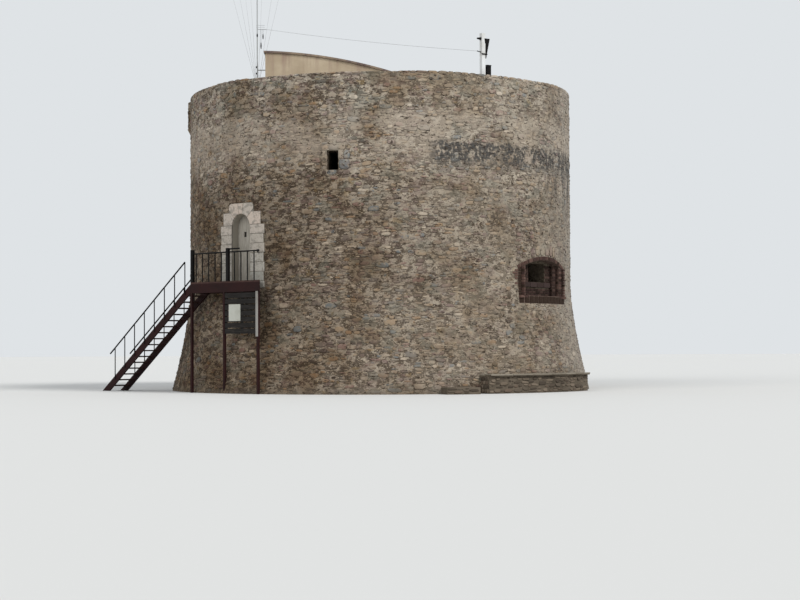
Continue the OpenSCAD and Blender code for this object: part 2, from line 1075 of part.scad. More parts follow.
// Pale strip on the front of the right post
module screen_strip() {
    color("lightgray")
    at_azimuth(door_az)
    translate([right_post_x + post_w - strip_w, landing_y - strip_w, beam_z - strip_len])
    cube([strip_w, strip_w, strip_len]);
}

// One stringer of the stair in the landing's frame
module stringer(y) {
    foot_run = deck_z / stair_rise * tread_going;
    upright(y, y + stringer_t)
    polygon([
        [-landing_left, stringer_top_z], [-landing_left, stringer_top_z - stringer_h],
        [-landing_left - foot_run * (stringer_top_z - stringer_h) / deck_z, 0],
        [-landing_left - foot_run * stringer_top_z / deck_z, 0]
    ]);
}

module stair_stringers() {
    color("maroon")
    at_azimuth(door_az)
    difference() {
        union() {
            stringer(landing_y);
            stringer(stair_inner_y - stringer_t);
        }
        drum_solid();
    }
}

module stair_treads() {
    color("dimgray")
    at_azimuth(door_az)
    for (i = [1:stair_risers - 1]) {
        underside_z = deck_z - i * stair_rise - tread_t;
        translate([-landing_left - i * tread_going, landing_y + stringer_t, underside_z])
        cube([tread_going, stair_w - 2 * stringer_t, tread_t]);
    }
}

// One side of the stair's railing, from the tread numbered first, with flat bars on the stringer's face
module stair_rail(y, first) {
    last = stair_risers - 2;
    top_z = stringer_top_z + rail_h;
    for (i = [first:2:last]) {
        x = -landing_left - i * tread_going;
        z = stringer_top_z - i * stair_rise;
        translate([x - bar_w / 2, y, z - stringer_h / 2])
        cube([bar_w, bar_w, rail_h + stringer_h / 2]);
    }
    rail_bar(
        [-landing_left - first * tread_going, y + bar_w / 2, top_z - first * stair_rise],
        [-landing_left - last * tread_going, y + bar_w / 2, top_z - last * stair_rise],
        rail_r
    );
}

module stair_railing() {
    color("dimgray")
    at_azimuth(door_az) {
        stair_rail(landing_y - bar_w, 1);
        stair_rail(stair_inner_y, 3);
    }
}

module bench_plinth() {
    color("gray")
    difference() {
        union() {
            sector(bench_from, bench_to)
            translate([drum_r, 0])
            square([bench_d - seat_nosing, bench_h - seat_t]);
            sector(bench_from - step_lead - step_angle, bench_from - step_lead)
            translate([drum_r, 0])
            square([step_d, step_h]);
        }
        drum_solid();
    }
}

module bench_seat() {
    color("silver")
    difference() {
        sector(bench_from, bench_to)
        translate([drum_r, bench_h - seat_t])
        square([bench_d, seat_t]);
        drum_solid();
    }
}

// Height of the stair head's roof curve of radius r at x
function roof_z(x, r) = head_centre_z + sqrt(r * r - (x - head_centre_x) * (x - head_centre_x));

// Points along the roof curve of radius r between the eaves, lowered by drop
function roof_points(r, drop = 0) = [
    for (i = [0:roof_steps])
    let (x = eaves_left + (eaves_right - eaves_left) * i / roof_steps) [x, roof_z(x, r) - drop]
];

module stair_head_walls() {
    foot_z = terrace_z + bed_gap;
    color("wheat")
    difference() {
        upright(-head_w / 2, head_w / 2)
        intersection() {
            polygon(concat(
                [[eaves_left, foot_z]], roof_points(head_soffit_r, bed_gap), [[eaves_right, foot_z]]
            ));
            translate([head_left, terrace_z])
            square([head_len, head_h]);
        }
        translate([head_left + head_wall_t, head_wall_t - head_w / 2, terrace_z - lap])
        cube([head_len - 2 * head_wall_t, head_w - 2 * head_wall_t, 2 * head_h]);
        translate([head_left + 2 * head_wall_t, 0, terrace_z - lap])
        cube([head_door_w, head_w, head_door_h + lap]);
    }
}

module stair_head_roof() {
    below = roof_points(head_soffit_r);
    color("dimgray")
    upright(-head_w / 2 - head_eaves, head_w / 2 + head_eaves)
    polygon(concat(roof_points(head_roof_r), [for (i = [roof_steps:-1:0]) below[i]]));
}

module aerial_mast() {
    arm_z = terrace_z + arm_h;
    color("dimgray") {
        translate([mast_x, 0, terrace_z + bed_gap])
        cylinder(h = mast_h - bed_gap, r = mast_r);
        for (share = [1 / 3, 4 / 5]) {
            translate([mast_x, -bracket_w / 2, terrace_z + share * head_h])
            cube([mast_gap, bracket_w, bracket_h]);
        }
        rail_bar([mast_x, 0, arm_z], [mast_x + arm_len, 0, arm_z], arm_r);
    }
}

module lamp_post() {
    middle_r = drum_r - parapet_t / 2;
    foot_z = parapet_top_z + bed_gap;
    at_azimuth(lamp_az) {
        color("white")
        translate([-lamp_w / 2, -middle_r - lamp_w / 2, foot_z])
        cube([lamp_w, lamp_w, lamp_h]);
        color("dimgray")
        translate([lamp_w / 2 + lamp_box_gap, -middle_r - lamp_w / 2, foot_z])
        cube([lamp_box_w, lamp_w, lamp_box_h]);
    }
}

ground_floor();
gun_room_floor();
vault();
terrace_paving();
wall_front();
wall_door_left();
wall_door_right();
wall_under_door();
wall_over_door();
wall_east_left();
wall_east_right();
wall_east_breast();
wall_east_head();
wall_side();
wall_back();
wall_rear_left();
wall_rear_right();
wall_rear_breast();
wall_rear_head();
wall_west();
parapet_front();
parapet_right();
parapet_back();
parapet_left();
flank_panel();
door_surround();
door_pintles();
door_leaf();
window_surrounds();
embrasure_arches();
embrasure_cheeks();
embrasure_sills();
landing_deck();
landing_frame();
landing_railing();
landing_screen();
notice_panel();
screen_strip();
stair_stringers();
stair_treads();
stair_railing();
bench_plinth();
bench_seat();
stair_head_walls();
stair_head_roof();
aerial_mast();
lamp_post();
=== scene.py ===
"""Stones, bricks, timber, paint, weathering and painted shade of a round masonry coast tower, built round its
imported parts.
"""

from __future__ import annotations

import json
import logging
from dataclasses import dataclass, field
from enum import StrEnum, auto
from functools import cached_property, partial, reduce
from math import asin, atan2, ceil, copysign, cos, degrees, floor, pi, radians, sin, sqrt
from random import Random
from typing import Callable, Iterable, Iterator, Sequence

import bmesh
import bpy
import numpy as np
from bmesh.types import BMEdge, BMesh, BMVert
from bpy.types import Material, Mesh, Node, NodeSocket, NodeTree, Object
from mathutils import Euler, Matrix, Vector

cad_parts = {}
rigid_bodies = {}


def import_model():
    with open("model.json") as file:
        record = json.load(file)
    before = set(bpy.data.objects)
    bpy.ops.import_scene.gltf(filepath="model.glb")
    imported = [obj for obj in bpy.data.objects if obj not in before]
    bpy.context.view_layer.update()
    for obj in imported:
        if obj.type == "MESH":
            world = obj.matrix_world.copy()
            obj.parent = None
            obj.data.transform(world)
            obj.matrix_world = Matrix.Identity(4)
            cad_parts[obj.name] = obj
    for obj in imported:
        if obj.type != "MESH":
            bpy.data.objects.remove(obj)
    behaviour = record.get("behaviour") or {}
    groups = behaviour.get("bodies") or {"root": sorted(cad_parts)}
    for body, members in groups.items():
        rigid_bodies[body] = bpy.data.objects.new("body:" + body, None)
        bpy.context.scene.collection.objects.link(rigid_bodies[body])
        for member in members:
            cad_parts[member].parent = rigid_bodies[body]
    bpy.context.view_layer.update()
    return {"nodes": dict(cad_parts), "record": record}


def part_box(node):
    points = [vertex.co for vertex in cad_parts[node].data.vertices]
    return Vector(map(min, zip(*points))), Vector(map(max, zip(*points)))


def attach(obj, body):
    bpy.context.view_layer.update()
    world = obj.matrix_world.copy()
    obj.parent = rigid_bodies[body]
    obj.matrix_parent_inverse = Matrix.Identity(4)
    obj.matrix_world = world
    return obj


LOG = logging.getLogger("tower")
TINT = "tint"
# Name of the attribute that carries the painted shade of the joints round each stone.
JOINT_SHADE = "edge"
Floats = Sequence[float]
FACE_RADIUS = 5.98
RECESS_RADIUS = 5.94


class Body(StrEnum):
    """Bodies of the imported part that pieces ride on."""

    TOWER = auto()
    DOOR = auto()


class Slot(StrEnum):
    """Material slots of the record."""

    RUBBLE = auto()
    PAVING = auto()
    LIMEWASH = auto()
    DRESSED_STONE = auto()
    BRICK = auto()
    RENDER = auto()
    ROOF_SLAB = auto()
    DOOR_PAINT = auto()
    IRON = auto()
    MAROON_PAINT = auto()
    DECK = auto()
    DARK_BOARDS = auto()
    WHITE_PANEL = auto()
    GREY_PAINT = auto()
    BENCH_STONE = auto()
    MAST_METAL = auto()
    POST_PAINT = auto()


def linear(colour: object) -> object:
    """Turns a colour of six hexadecimal digits, such as "8f8373", into a linear one for a shader's socket.

    Args:
        colour: The digits, or a socket, which stays as it is.

    Returns:
        Red, green, blue and alpha, or the socket.
    """
    if not isinstance(colour, str):
        return colour
    parts = [int(colour[i : i + 2], 16) / 255 for i in (0, 2, 4)]
    red, green, blue = (c / 12.92 if c <= 0.04045 else ((c + 0.055) / 1.055) ** 2.4 for c in parts)
    return (red, green, blue, 1.0)


class Graph:
    """Nodes of one tree, added one after another."""

    def __init__(self, tree: NodeTree) -> None:
        """Empties the tree."""
        self.tree = tree
        tree.nodes.clear()

    def add(self, kind: str, values: dict[int | str, object] | None = None, **settings: object) -> Node:
        """Adds a node.

        Args:
            kind: Its type.
            values: What its inputs get, by name or number: an output, a plain value, or None for nothing.
            settings: Its own settings.

        Returns:
            The node.
        """
        node = self.tree.nodes.new(kind)
        for name, setting in settings.items():
            setattr(node, name, setting)
        for key, value in (values or {}).items():
            if isinstance(value, NodeSocket):
                self.tree.links.new(value, node.inputs[key])
            elif value is not None:
                node.inputs[key].default_value = value
        return node

    def math(self, operation: str, *values: object) -> NodeSocket:
        """Adds a Math node for an operation, such as "ADD", on outputs or numbers."""
        return self.add("ShaderNodeMath", dict(enumerate(values)), operation=operation).outputs[0]

    def times(self, *values: object) -> NodeSocket:
        """Multiplies outputs or numbers, one after another."""
        return reduce(lambda first, second: self.math("MULTIPLY", first, second), values)


class Recipe(Graph):
    """Nodes of one material."""

    def __init__(self, name: str) -> None:
        """Starts a material with Object coordinates.

        Args:
            name: The material's name.
        """
        self.material = bpy.data.materials.new(name)
        self.material.use_nodes = True
        super().__init__(self.material.node_tree)
        self.place = self.add("ShaderNodeTexCoord").outputs["Object"]

    def axis(self, name: str) -> NodeSocket:
        """Adds one of the Object coordinates, named X, Y or Z."""
        return self.add("ShaderNodeSeparateXYZ", {0: self.place}).outputs[name]

    @cached_property
    def height(self) -> NodeSocket:
        """Height above the ground."""
        return self.axis("Z")

    @cached_property
    def azimuth(self) -> NodeSocket:
        """Angle round the drum in radians, from the front towards +X."""
        return self.math("ARCTAN2", self.axis("X"), self.times(self.axis("Y"), -1.0))

    @cached_property
    def reach(self) -> NodeSocket:
        """Distance from the drum's axis."""
        squares = [self.math("POWER", self.math("ABSOLUTE", self.axis(name)), 2.0) for name in "XY"]
        return self.math("SQRT", self.math("ADD", *squares))

    def mapped(self, stretch: Floats, turn: float = 0.0) -> NodeSocket:
        """Adds Object coordinates that are turned about Z and then stretched, or the plain ones.

        Args:
            stretch: Factor along each axis.
            turn: The angle, in radians.

        Returns:
            The coordinates' output.
        """
        if tuple(stretch) == (1.0, 1.0, 1.0) and not turn:
            return self.place
        factors = [1 / s for s in stretch] if turn else stretch
        values = {"Vector": self.place, "Rotation": (0.0, 0.0, turn), "Scale": factors}
        return self.add("ShaderNodeMapping", values, vector_type="TEXTURE" if turn else "POINT").outputs[0]

    def noise(
        self, scale: float, detail: float = 4.0, stretch: Floats = (1.0, 1.0, 1.0),
        turn: float = 0.0, roughness: float = 0.6,
    ) -> NodeSocket:
        """Adds a noise, stretched along each axis and turned about Z by radians."""
        values = {"Scale": scale, "Detail": detail, "Roughness": roughness}
        return self.add("ShaderNodeTexNoise", values | {"Vector": self.mapped(stretch, turn)}).outputs["Fac"]

    def spots(self, scale: float, detail: float, low: float, high: float, tall: float = 1.0) -> NodeSocket:
        """Adds soft spots that begin and are complete at two values of a noise, tall times finer along Z."""
        return self.between(self.noise(scale, detail, (1.0, 1.0, tall)), low, high)

    def attribute(self, name: str) -> NodeSocket:
        """Adds a number that the mesh carries under that name."""
        return self.add("ShaderNodeAttribute", attribute_name=name).outputs["Fac"]

    def ramp(self, factor: NodeSocket, colours: Sequence[str], steps: bool = False) -> NodeSocket:
        """Adds a ramp of evenly spread colours.

        Args:
            factor: What drives it.
            colours: Its colours.
            steps: Whether they change at once.

        Returns:
            The colour's output.
        """
        node = self.add("ShaderNodeValToRGB", {"Fac": factor})
        node.color_ramp.interpolation = "CONSTANT" if steps else "LINEAR"
        elements = node.color_ramp.elements
        while len(elements) < len(colours):
            elements.new(0.5)
        for number, (element, colour) in enumerate(zip(elements, colours)):
            element.position = number / (len(colours) if steps else len(colours) - 1)
            element.color = linear(colour)
        return node.outputs["Color"]

    def between(self, value: object, low: float, high: float) -> NodeSocket:
        """Adds a smooth rise from 0 at low to 1 at high, or a fall where high is the lower.

        Args:
            value: What drives it.
            low: Where it is 0.
            high: Where it is 1.

        Returns:
            The share.
        """
        values = {"Value": value, "From Min": min(low, high), "From Max": max(low, high)}
        values |= {"To Min": float(low > high), "To Max": float(low < high)}
        return self.add("ShaderNodeMapRange", values, interpolation_type="SMOOTHSTEP").outputs["Result"]

    def sector(self, start: float, full: float, wane: float, end: float) -> NodeSocket:
        """Adds a share that is 1 between the azimuths full and wane, in degrees, and fades to 0 beyond."""
        rise = self.between(self.azimuth, radians(start), radians(full))
        return self.times(rise, self.between(self.azimuth, radians(end), radians(wane)))

    def over(self, colour: object, hue: object, *shares: object, how: str = "MIX") -> NodeSocket:
        """Lays a hue over a colour by the product of some shares, mixed in the way named."""
        values = {0: self.times(*shares), 6: linear(colour), 7: linear(hue)}
        return self.add("ShaderNodeMix", values, data_type="RGBA", blend_type=how).outputs[2]

    def bump(
        self, height: NodeSocket, depth: float, strength: float, under: NodeSocket | None = None
    ) -> NodeSocket:
        """Adds a bump of a depth in metres, over the normal of one beneath it if there is one."""
        values = {"Distance": depth, "Strength": strength, "Height": height, "Normal": under}
        return self.add("ShaderNodeBump", values).outputs["Normal"]

    def finish(
        self, colour: object, roughness: object, normal: NodeSocket | None = None,
        metal: float = 0.0, shine: float = 0.12,
    ) -> Material:
        """Sets what the surface shows.

        Args:
            colour: The base colour.
            roughness: The roughness.
            normal: The bump's normal, if there is one.
            metal: How metallic it is.
            shine: How much it mirrors.

        Returns:
            The finished material.
        """
        values = {"Base Color": linear(colour), "Roughness": roughness, "Metallic": metal, "Normal": normal}
        shader = self.add("ShaderNodeBsdfPrincipled", values | {"Specular IOR Level": shine})
        self.add("ShaderNodeOutputMaterial", {"Surface": shader.outputs["BSDF"]})
        return self.material


@dataclass(frozen=True)
class Layer:
    """A hue over the masonry, by the spots of a noise, bands of height and a sector of the drum."""

    hue: str
    share: float = 1.0
    spots: tuple[float, ...] = ()
    heights: tuple[tuple[float, float], ...] = ()
    sector: tuple[float, ...] = ()
    how: str = "MIX"

    def over(self, recipe: Recipe, colour: NodeSocket) -> NodeSocket:
        """Lays the hue over a colour.

        Args:
            recipe: The material's nodes.
            colour: The colour.

        Returns:
            The colour with the hue.
        """
        shares = [recipe.between(recipe.height, *ends) for ends in self.heights]
        shares += [recipe.sector(*self.sector)] if self.sector else []
        shares += [recipe.spots(*self.spots)] if self.spots else []
        return recipe.over(colour, self.hue, *shares, self.share, how=self.how)


@dataclass(frozen=True)
class WeatherAndShade:
    """How wind, rain and lichen have marked the drum, with painted shade on the left flank, in small pits and
    in the rooms, and a darkening lower down, by height in metres and azimuth in degrees.
    """

    layers: tuple[Layer, ...] = (
        Layer("74756b", 0.4, (1.6, 4.0, 0.54, 0.62, 1.5)),
        Layer("7b6862", 0.34, (2.1, 4.0, 0.55, 0.63, 1.5)),
        Layer("9a8258", 0.34, (3.1, 4.0, 0.61, 0.68, 1.5)),
        Layer("b9ad9a", 0.5, (2.7, 4.0, 0.63, 0.7, 1.5)),
        Layer("d6ccbf", 1.0, (0.8, 5.0, 0.56, 0.36), how="MULTIPLY"),
        Layer("e9e6e3", heights=((6.7, 4.9),), how="MULTIPLY"),
        # Painted shade: the left flank, away from the light, is darker below the wall head.
        Layer("dbd5ce", heights=((7.4, 5.2),), sector=(-170.0, -110.0, -40.0, 15.0), how="MULTIPLY"),
        Layer("a99c8c", 0.5, (1.3, 4.0, 0.3, 0.6), ((6.4, 7.1), (8.3, 7.8))),
        Layer("98938c", 0.4, sector=(45.0, 80.0, 110.0, 170.0)),
        Layer("a89c8a", 0.25, (1.3, 4.0, 0.3, 0.6), sector=(-25.0, 40.0, 110.0, 170.0)),
        Layer("5a5145", 0.45, heights=((0.3, 0.0),)),
    )
    # Painted shade in the small pits and voids of the face.
    hollow_shade: Layer = Layer("30271f", 0.85, (8.0, 3.0, 0.59, 0.64, 2.2))
    stain_head: tuple[float, float] = (7.52, 7.37)
    stain_sector: tuple[float, ...] = (11.0, 17.0, 78.0, 92.0)
    dense_heights: tuple[float, float] = (6.3, 6.75)
    drip_heights: tuple[float, float] = (4.9, 6.5)
    drip_azimuths: tuple[float, float] = (46.0, 66.0)
    # Reach and heights of the painted shade in the rooms, passages and gun ports.
    room_shade_reach: tuple[float, float] = (5.76, 5.7)
    room_shade_heights: tuple[float, float] = (7.9, 7.8)

    def over(self, recipe: Recipe, colour: NodeSocket) -> NodeSocket:
        """Lays the weathering and the painted shade over a masonry colour, and the painted shade of the rooms.

        Args:
            recipe: The material's nodes.
            colour: The clean masonry.

        Returns:
            The weathered colour, with its painted shade.
        """
        for layer in self.layers:
            colour = layer.over(recipe, colour)
        # The lichen stain, then the painted shade of the small pits.
        colour = self.hollow_shade.over(recipe, recipe.over(colour, "434240", self.stain(recipe), 0.92))
        # Painted shade on the faces within the rooms and passages.
        inside = recipe.between(recipe.reach, *self.room_shade_reach)
        return recipe.over(colour, "3a3023", inside, recipe.between(recipe.height, *self.room_shade_heights), 0.72)

    def stain(self, recipe: Recipe) -> NodeSocket:
        """Finds the dark drips of lichen under the wall head to windward.

        Args:
            recipe: The material's nodes.

        Returns:
            The share.
        """
        uneven = recipe.math("ADD", recipe.height, recipe.times(recipe.noise(5.0), 0.5))
        zone = recipe.times(recipe.between(uneven, *self.stain_head), recipe.sector(*self.stain_sector))
        cover = recipe.spots(2.4, 3.0, 0.34, 0.48, 0.9)
        dense = recipe.times(recipe.between(recipe.height, *self.dense_heights), cover)
        seaward = recipe.between(recipe.azimuth, *map(radians, self.drip_azimuths))
        drips = recipe.spots(2.4, 3.0, 0.46, 0.6, 0.25)
        tail = recipe.times(recipe.between(recipe.height, *self.drip_heights), seaward, drips)
        spread = recipe.math("MAXIMUM", dense, tail)
        return recipe.times(zone, spread, recipe.spots(13.0, 5.0, 0.34, 0.54, 0.8))


@dataclass(frozen=True)
class StoneFinish:
    """Field stone or brick whose blocks differ in colour."""

    name: str
    palette: tuple[str, ...]
    grain: float = 26.0
    depth: float = 0.006
    spread: float = 0.5
    roughness: float = 0.92
    smear: str = ""
    # Strength of the painted shade in the joints round each block.
    edges: float = 0.0
    # Radius within which painted shade darkens the blocks of a recess, or 0 for none.
    recess: float = 0.0
    weather: WeatherAndShade | None = None

    def material(self) -> Material:
        """Builds the material, in which each block takes a colour of the palette by its tint.

        Returns:
            The material.
        """
        recipe = Recipe(self.name)
        own = recipe.ramp(recipe.attribute(TINT), self.palette, steps=True)
        mottle = recipe.noise(self.grain, 5.0)
        veined = recipe.over(own, "7d7468", mottle, self.spread, how="OVERLAY")
        colour = recipe.over(veined, "42392f", recipe.spots(self.grain * 2.2, 3.0, 0.56, 0.68), 0.4)
        if self.smear:
            colour = recipe.over(colour, self.smear, recipe.spots(7.0, 5.0, 0.5, 0.6, 1.4), 0.75)
        if self.weather:
            colour = self.weather.over(recipe, colour)
        # Painted shade where each stone meets its joints, strongest on its underside.
        if self.edges:
            colour = recipe.over(colour, "2b231b", recipe.attribute(JOINT_SHADE), self.edges)
        # Painted shade in the embrasure's recess, full 0.12 m in from the face.
        if self.recess:
            deep = recipe.between(recipe.reach, self.recess, self.recess - 0.12)
            colour = recipe.over(colour, "221815", deep, 0.5)
        coarse = recipe.bump(mottle, self.depth, 0.8)
        fine = recipe.bump(recipe.noise(self.grain * 5, 3.0), self.depth * 0.25, 0.7, coarse)
        return recipe.finish(colour, self.roughness, fine)


@dataclass(frozen=True)
class MortarFinish:
    """Lime mortar with grit, between stones or bricks."""

    name: str
    light: str
    dark: str
    depth: float = 0.008
    # Colour of the painted shadow in patches of deep, emptied joints, or none.
    raked: str = ""
    reveal: str = ""
    reveal_reach: tuple[float, float] = (FACE_RADIUS - 0.005, RECESS_RADIUS)
    chips: tuple[str, ...] = ()
    weather: WeatherAndShade | None = None

    def material(self) -> Material:
        """Builds the material, with small stone chips pressed into the mortar where it has them.

        Returns:
            The material.
        """
        recipe = Recipe(self.name)
        body = recipe.noise(5.0, 6.0)
        grit = recipe.noise(60.0)
        base = recipe.ramp(recipe.between(body, 0.3, 0.7), (self.dark, self.light))
        colour = recipe.over(base, "6a5f52", recipe.between(grit, 0.55, 0.72))
        # Painted shadow in patches where the joints lie deep.
        if self.raked:
            colour = recipe.over(colour, self.raked, recipe.spots(4.5, 5.0, 0.46, 0.54, 1.6), 0.85)
        lumps = recipe.bump(body, self.depth * 2, 0.7)
        if self.chips:
            cells = {"Scale": 17.0, "Vector": recipe.mapped((1.0, 1.0, 1.7))}
            pebbles = recipe.add("ShaderNodeTexVoronoi", cells).outputs
            chips = recipe.between(pebbles["Distance"], 0.42, 0.3)
            colour = recipe.over(colour, recipe.ramp(pebbles["Color"], self.chips, steps=True), chips, 0.85)
            lumps = recipe.bump(chips, self.depth, 0.8, lumps)
        if self.weather:
            colour = self.weather.over(recipe, colour)
        if self.reveal:
            colour = recipe.over(colour, self.reveal, recipe.between(recipe.reach, *self.reveal_reach))
        return recipe.finish(colour, 0.95, recipe.bump(grit, self.depth * 0.4, 0.8, lumps))


@dataclass(frozen=True)
class PlasterFinish:
    """Smooth render, limewash or concrete with stains that run down from the top."""

    name: str
    light: str
    dark: str
    stain: str
    top: float
    fade: float
    depth: float = 0.002

    def material(self) -> Material:
        """Builds the material.

        Returns:
            The material.
        """
        recipe = Recipe(self.name)
        base = recipe.ramp(recipe.spots(0.9, 5.0, 0.35, 0.65), (self.dark, self.light))
        runs = recipe.spots(4.0, 4.0, 0.45, 0.68, 0.08)
        high = recipe.between(recipe.height, self.top - self.fade, self.top)
        streaked = recipe.over(base, self.stain, runs, high, 0.7)
        colour = recipe.over(streaked, self.stain, recipe.spots(38.0, 4.0, 0.6, 0.72), 0.25)
        trowel = recipe.bump(recipe.noise(3.0), self.depth * 3, 0.6)
        return recipe.finish(colour, 0.9, recipe.bump(recipe.noise(45.0), self.depth, 0.7, trowel))


@dataclass(frozen=True)
class TimberFinish:
    """Boards with their grain along the length, bare, stained or painted."""

    name: str
    light: str
    dark: str
    worn: str
    turn: float
    along: tuple[float, float, float] = (0.12, 1.0, 1.0)
    roughness: float = 0.75
    wear: float = 0.5

    def material(self) -> Material:
        """Builds the material.

        Returns:
            The material.
        """
        recipe = Recipe(self.name)
        grain = recipe.noise(32.0, 6.0, self.along, radians(self.turn), 0.5)
        base = recipe.ramp(recipe.between(grain, 0.3, 0.7), (self.dark, self.light))
        cloud = recipe.spots(3.0, 5.0, 0.5, 0.7)
        colour = recipe.over(base, self.worn, cloud, recipe.between(grain, 0.4, 0.65), self.wear)
        rough = recipe.math("ADD", self.roughness, recipe.times(cloud, 0.12))
        return recipe.finish(colour, rough, recipe.bump(grain, 0.0025, 0.8))


@dataclass(frozen=True)
class PaintFinish:
    """Painted or bare metal with dirt, chips and rust."""

    name: str
    paint: str
    dirt: str
    rust: str
    chips: float
    roughness: float
    metal: float = 0.0

    def material(self) -> Material:
        """Builds the material.

        Returns:
            The material.
        """
        recipe = Recipe(self.name)
        dirty = recipe.over(self.paint, self.dirt, recipe.spots(2.2, 5.0, 0.4, 0.7), 0.6)
        edge = recipe.noise(14.0, 6.0)
        chip = recipe.times(recipe.between(edge, 0.6, 0.66), self.chips)
        rough = recipe.math("ADD", self.roughness, recipe.times(chip, 0.4))
        colour = recipe.over(dirty, self.rust, chip)
        return recipe.finish(colour, rough, recipe.bump(edge, 0.0015, 0.5), self.metal, 0.1)


RUBBLE_COLOURS = (
    "7c7169", "8e8071", "6c625b", "998a79", "83726d", "5c534c", "a29688", "877766",
    "7a7f81", "9b8268", "8c857a", "74665e", "a7957f", "807b75", "8e766e", "c1b7a7",
)
CHIP_COLOURS = ("8d8375", "a89a86", "776b5f", "b8ac99", "6b6057", "9c8c78")
BRICK_COLOURS = ("473530", "503c36", "3f302a", "57423b", "443430", "5d4941", "33271f", "654f47")
DRESSED_COLOURS = ("a6a49b", "b1ada3", "b9b4aa", "b3aba0", "bab0a5", "c2b6a9", "bab0a5", "c9bdb0")
# Grey-green ledge stone, darkened as painted shade for the back of the recess.
LEDGE_AND_SHADE_COLOURS = ("4b3e3a", "554744", "463a36")
PLINTH_COLOURS = ("5f564b", "6d6255", "544b41", "7a6e60", "4c443b", "675a4e")
SEAT_COLOURS = ("857d70", "8f877a", "7c7467")
PAVING_COLOURS = ("8a8479", "7c766c", "958d80", "807567", "8f877b", "75706a")


@dataclass(frozen=True)
class Finishes:
    """Every material of the tower, by its slot, and the ones that only added pieces take."""

    by_slot: dict[Slot, Material]
    stone: Material
    bricks: Material
    slabs: Material
    blocks: Material
    ledge: Material
    plinth: Material
    seat: Material

    @classmethod
    def made(cls, door_turn: float, roof_top: float) -> Finishes:
        """Builds the materials.

        Args:
            door_turn: Azimuth of the doorway, which its boards follow, in degrees.
            roof_top: Height from which the stair head's stains run down.

        Returns:
            The finishes.
        """
        mortar, plaster, timber, paint = MortarFinish, PlasterFinish, TimberFinish, PaintFinish
        upright = (1.0, 1.0, 0.1)
        weather = WeatherAndShade()
        rubble = mortar("mortar", "a99f90", "8d8274", raked="40352a", chips=CHIP_COLOURS, weather=weather)
        slots = {
            Slot.RUBBLE: rubble,
            Slot.PAVING: mortar("floor_mortar", "8f8778", "746c60", 0.004),
            Slot.LIMEWASH: plaster("limewash", "c8c2b4", "a9a293", "7f7868", 7.9, 3.0),
            Slot.DRESSED_STONE: mortar("stone_joints", "8a847a", "605c54", 0.003, reveal="999285"),
            Slot.BRICK: mortar("brick_joints", "66554c", "40332d", 0.003),
            Slot.RENDER: plaster("render", "bbab92", "a8977f", "8c7268", roof_top, 1.3),
            Slot.ROOF_SLAB: plaster("roof_slab", "94836f", "75655a", "53454a", roof_top, 4.0, 0.004),
            Slot.DOOR_PAINT: timber("door_paint", "a39d92", "8a8479", "716b61", door_turn, upright, 0.6),
            Slot.IRON: paint("iron", "0e0d0d", "191715", "33201a", 0.25, 0.55),
            Slot.MAROON_PAINT: paint("maroon_paint", "291413", "1c1110", "45291f", 0.25, 0.6),
            Slot.DECK: timber("deck", "4a3531", "33241f", "5e4a41", door_turn),
            Slot.DARK_BOARDS: timber("dark_boards", "2a2725", "1c1a18", "45403b", door_turn),
            Slot.WHITE_PANEL: paint("white_panel", "b4b4aa", "98978a", "7a6a58", 0.15, 0.55),
            Slot.GREY_PAINT: paint("grey_paint", "8f8c87", "76716a", "6a5444", 0.2, 0.5),
            # Dark bench stone; its front under the thin seat slabs is this dark partly as painted shade under
            # the seat's nosing.
            Slot.BENCH_STONE: plaster("bench_stone", "6a6053", "4f473c", "3d362d", 0.5, 0.5, 0.006),
            Slot.MAST_METAL: paint("mast_metal", "a3a5a5", "8b8b86", "7a6656", 0.15, 0.5, 0.1),
            Slot.POST_PAINT: paint("post_paint", "d8d9d8", "b3b0a8", "7d6a5a", 0.15, 0.5),
        }
        added = {
            "stone": StoneFinish("field_stone", RUBBLE_COLOURS, smear="9a8e7e", edges=0.75, weather=weather),
            "bricks": StoneFinish("brickwork", BRICK_COLOURS, 30.0, 0.003, 0.4, recess=RECESS_RADIUS),
            "slabs": StoneFinish("flagstone", PAVING_COLOURS, 9.0, 0.004, 0.4),
            "blocks": StoneFinish("dressed_block", DRESSED_COLOURS, 12.0, 0.003, 0.45, smear="857f76"),
            "plinth": StoneFinish("plinth_stone", PLINTH_COLOURS, edges=0.75),
            "seat": StoneFinish("seat_slab", SEAT_COLOURS, 11.0, 0.003, 0.45),
            "ledge": StoneFinish("ledge_stone", LEDGE_AND_SHADE_COLOURS, 12.0, 0.003, 0.45, recess=RECESS_RADIUS),
        }
        by_slot = {slot: finish.material() for slot, finish in slots.items()}
        return cls(by_slot, **{name: finish.material() for name, finish in added.items()})

    def dress_frame(self, record: dict, nodes: dict[str, Object]) -> None:
        """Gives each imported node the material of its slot.

        Args:
            record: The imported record.
            nodes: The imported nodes.
        """
        for part in record["subparts"]:
            mesh = nodes[part["node"]].data
            mesh.materials.clear()
            mesh.materials.append(self.by_slot[Slot(part["material_slot"])])

    def dress(self, bm: BMesh, name: str, slot: Slot, body: Body = Body.TOWER) -> None:
        """Makes a bmesh a piece of that name, in the material of its slot, on its body."""
        settle(made_of(bm, name), self.by_slot[slot], slot, body)


def linked(name: str, data: bpy.types.ID) -> Object:
    """Puts a mesh, a lamp or a lens into the scene.

    Args:
        name: The object's name.
        data: What it holds.

    Returns:
        The object.
    """
    thing = bpy.data.objects.new(name, data)
    bpy.context.scene.collection.objects.link(thing)
    return thing


def settle(piece: Object, material: Material, slot: Slot, body: Body = Body.TOWER) -> None:
    """Gives a piece its material and body, and reports it.

    Args:
        piece: The finished piece, at the origin.
        material: Its material.
        slot: The record's slot that it belongs to; not used.
        body: The body that it rides.
    """
    piece.data.materials.clear()
    piece.data.materials.append(material)
    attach(piece, body.value)
    LOG.info("%s: %d faces", piece.name, len(piece.data.polygons))


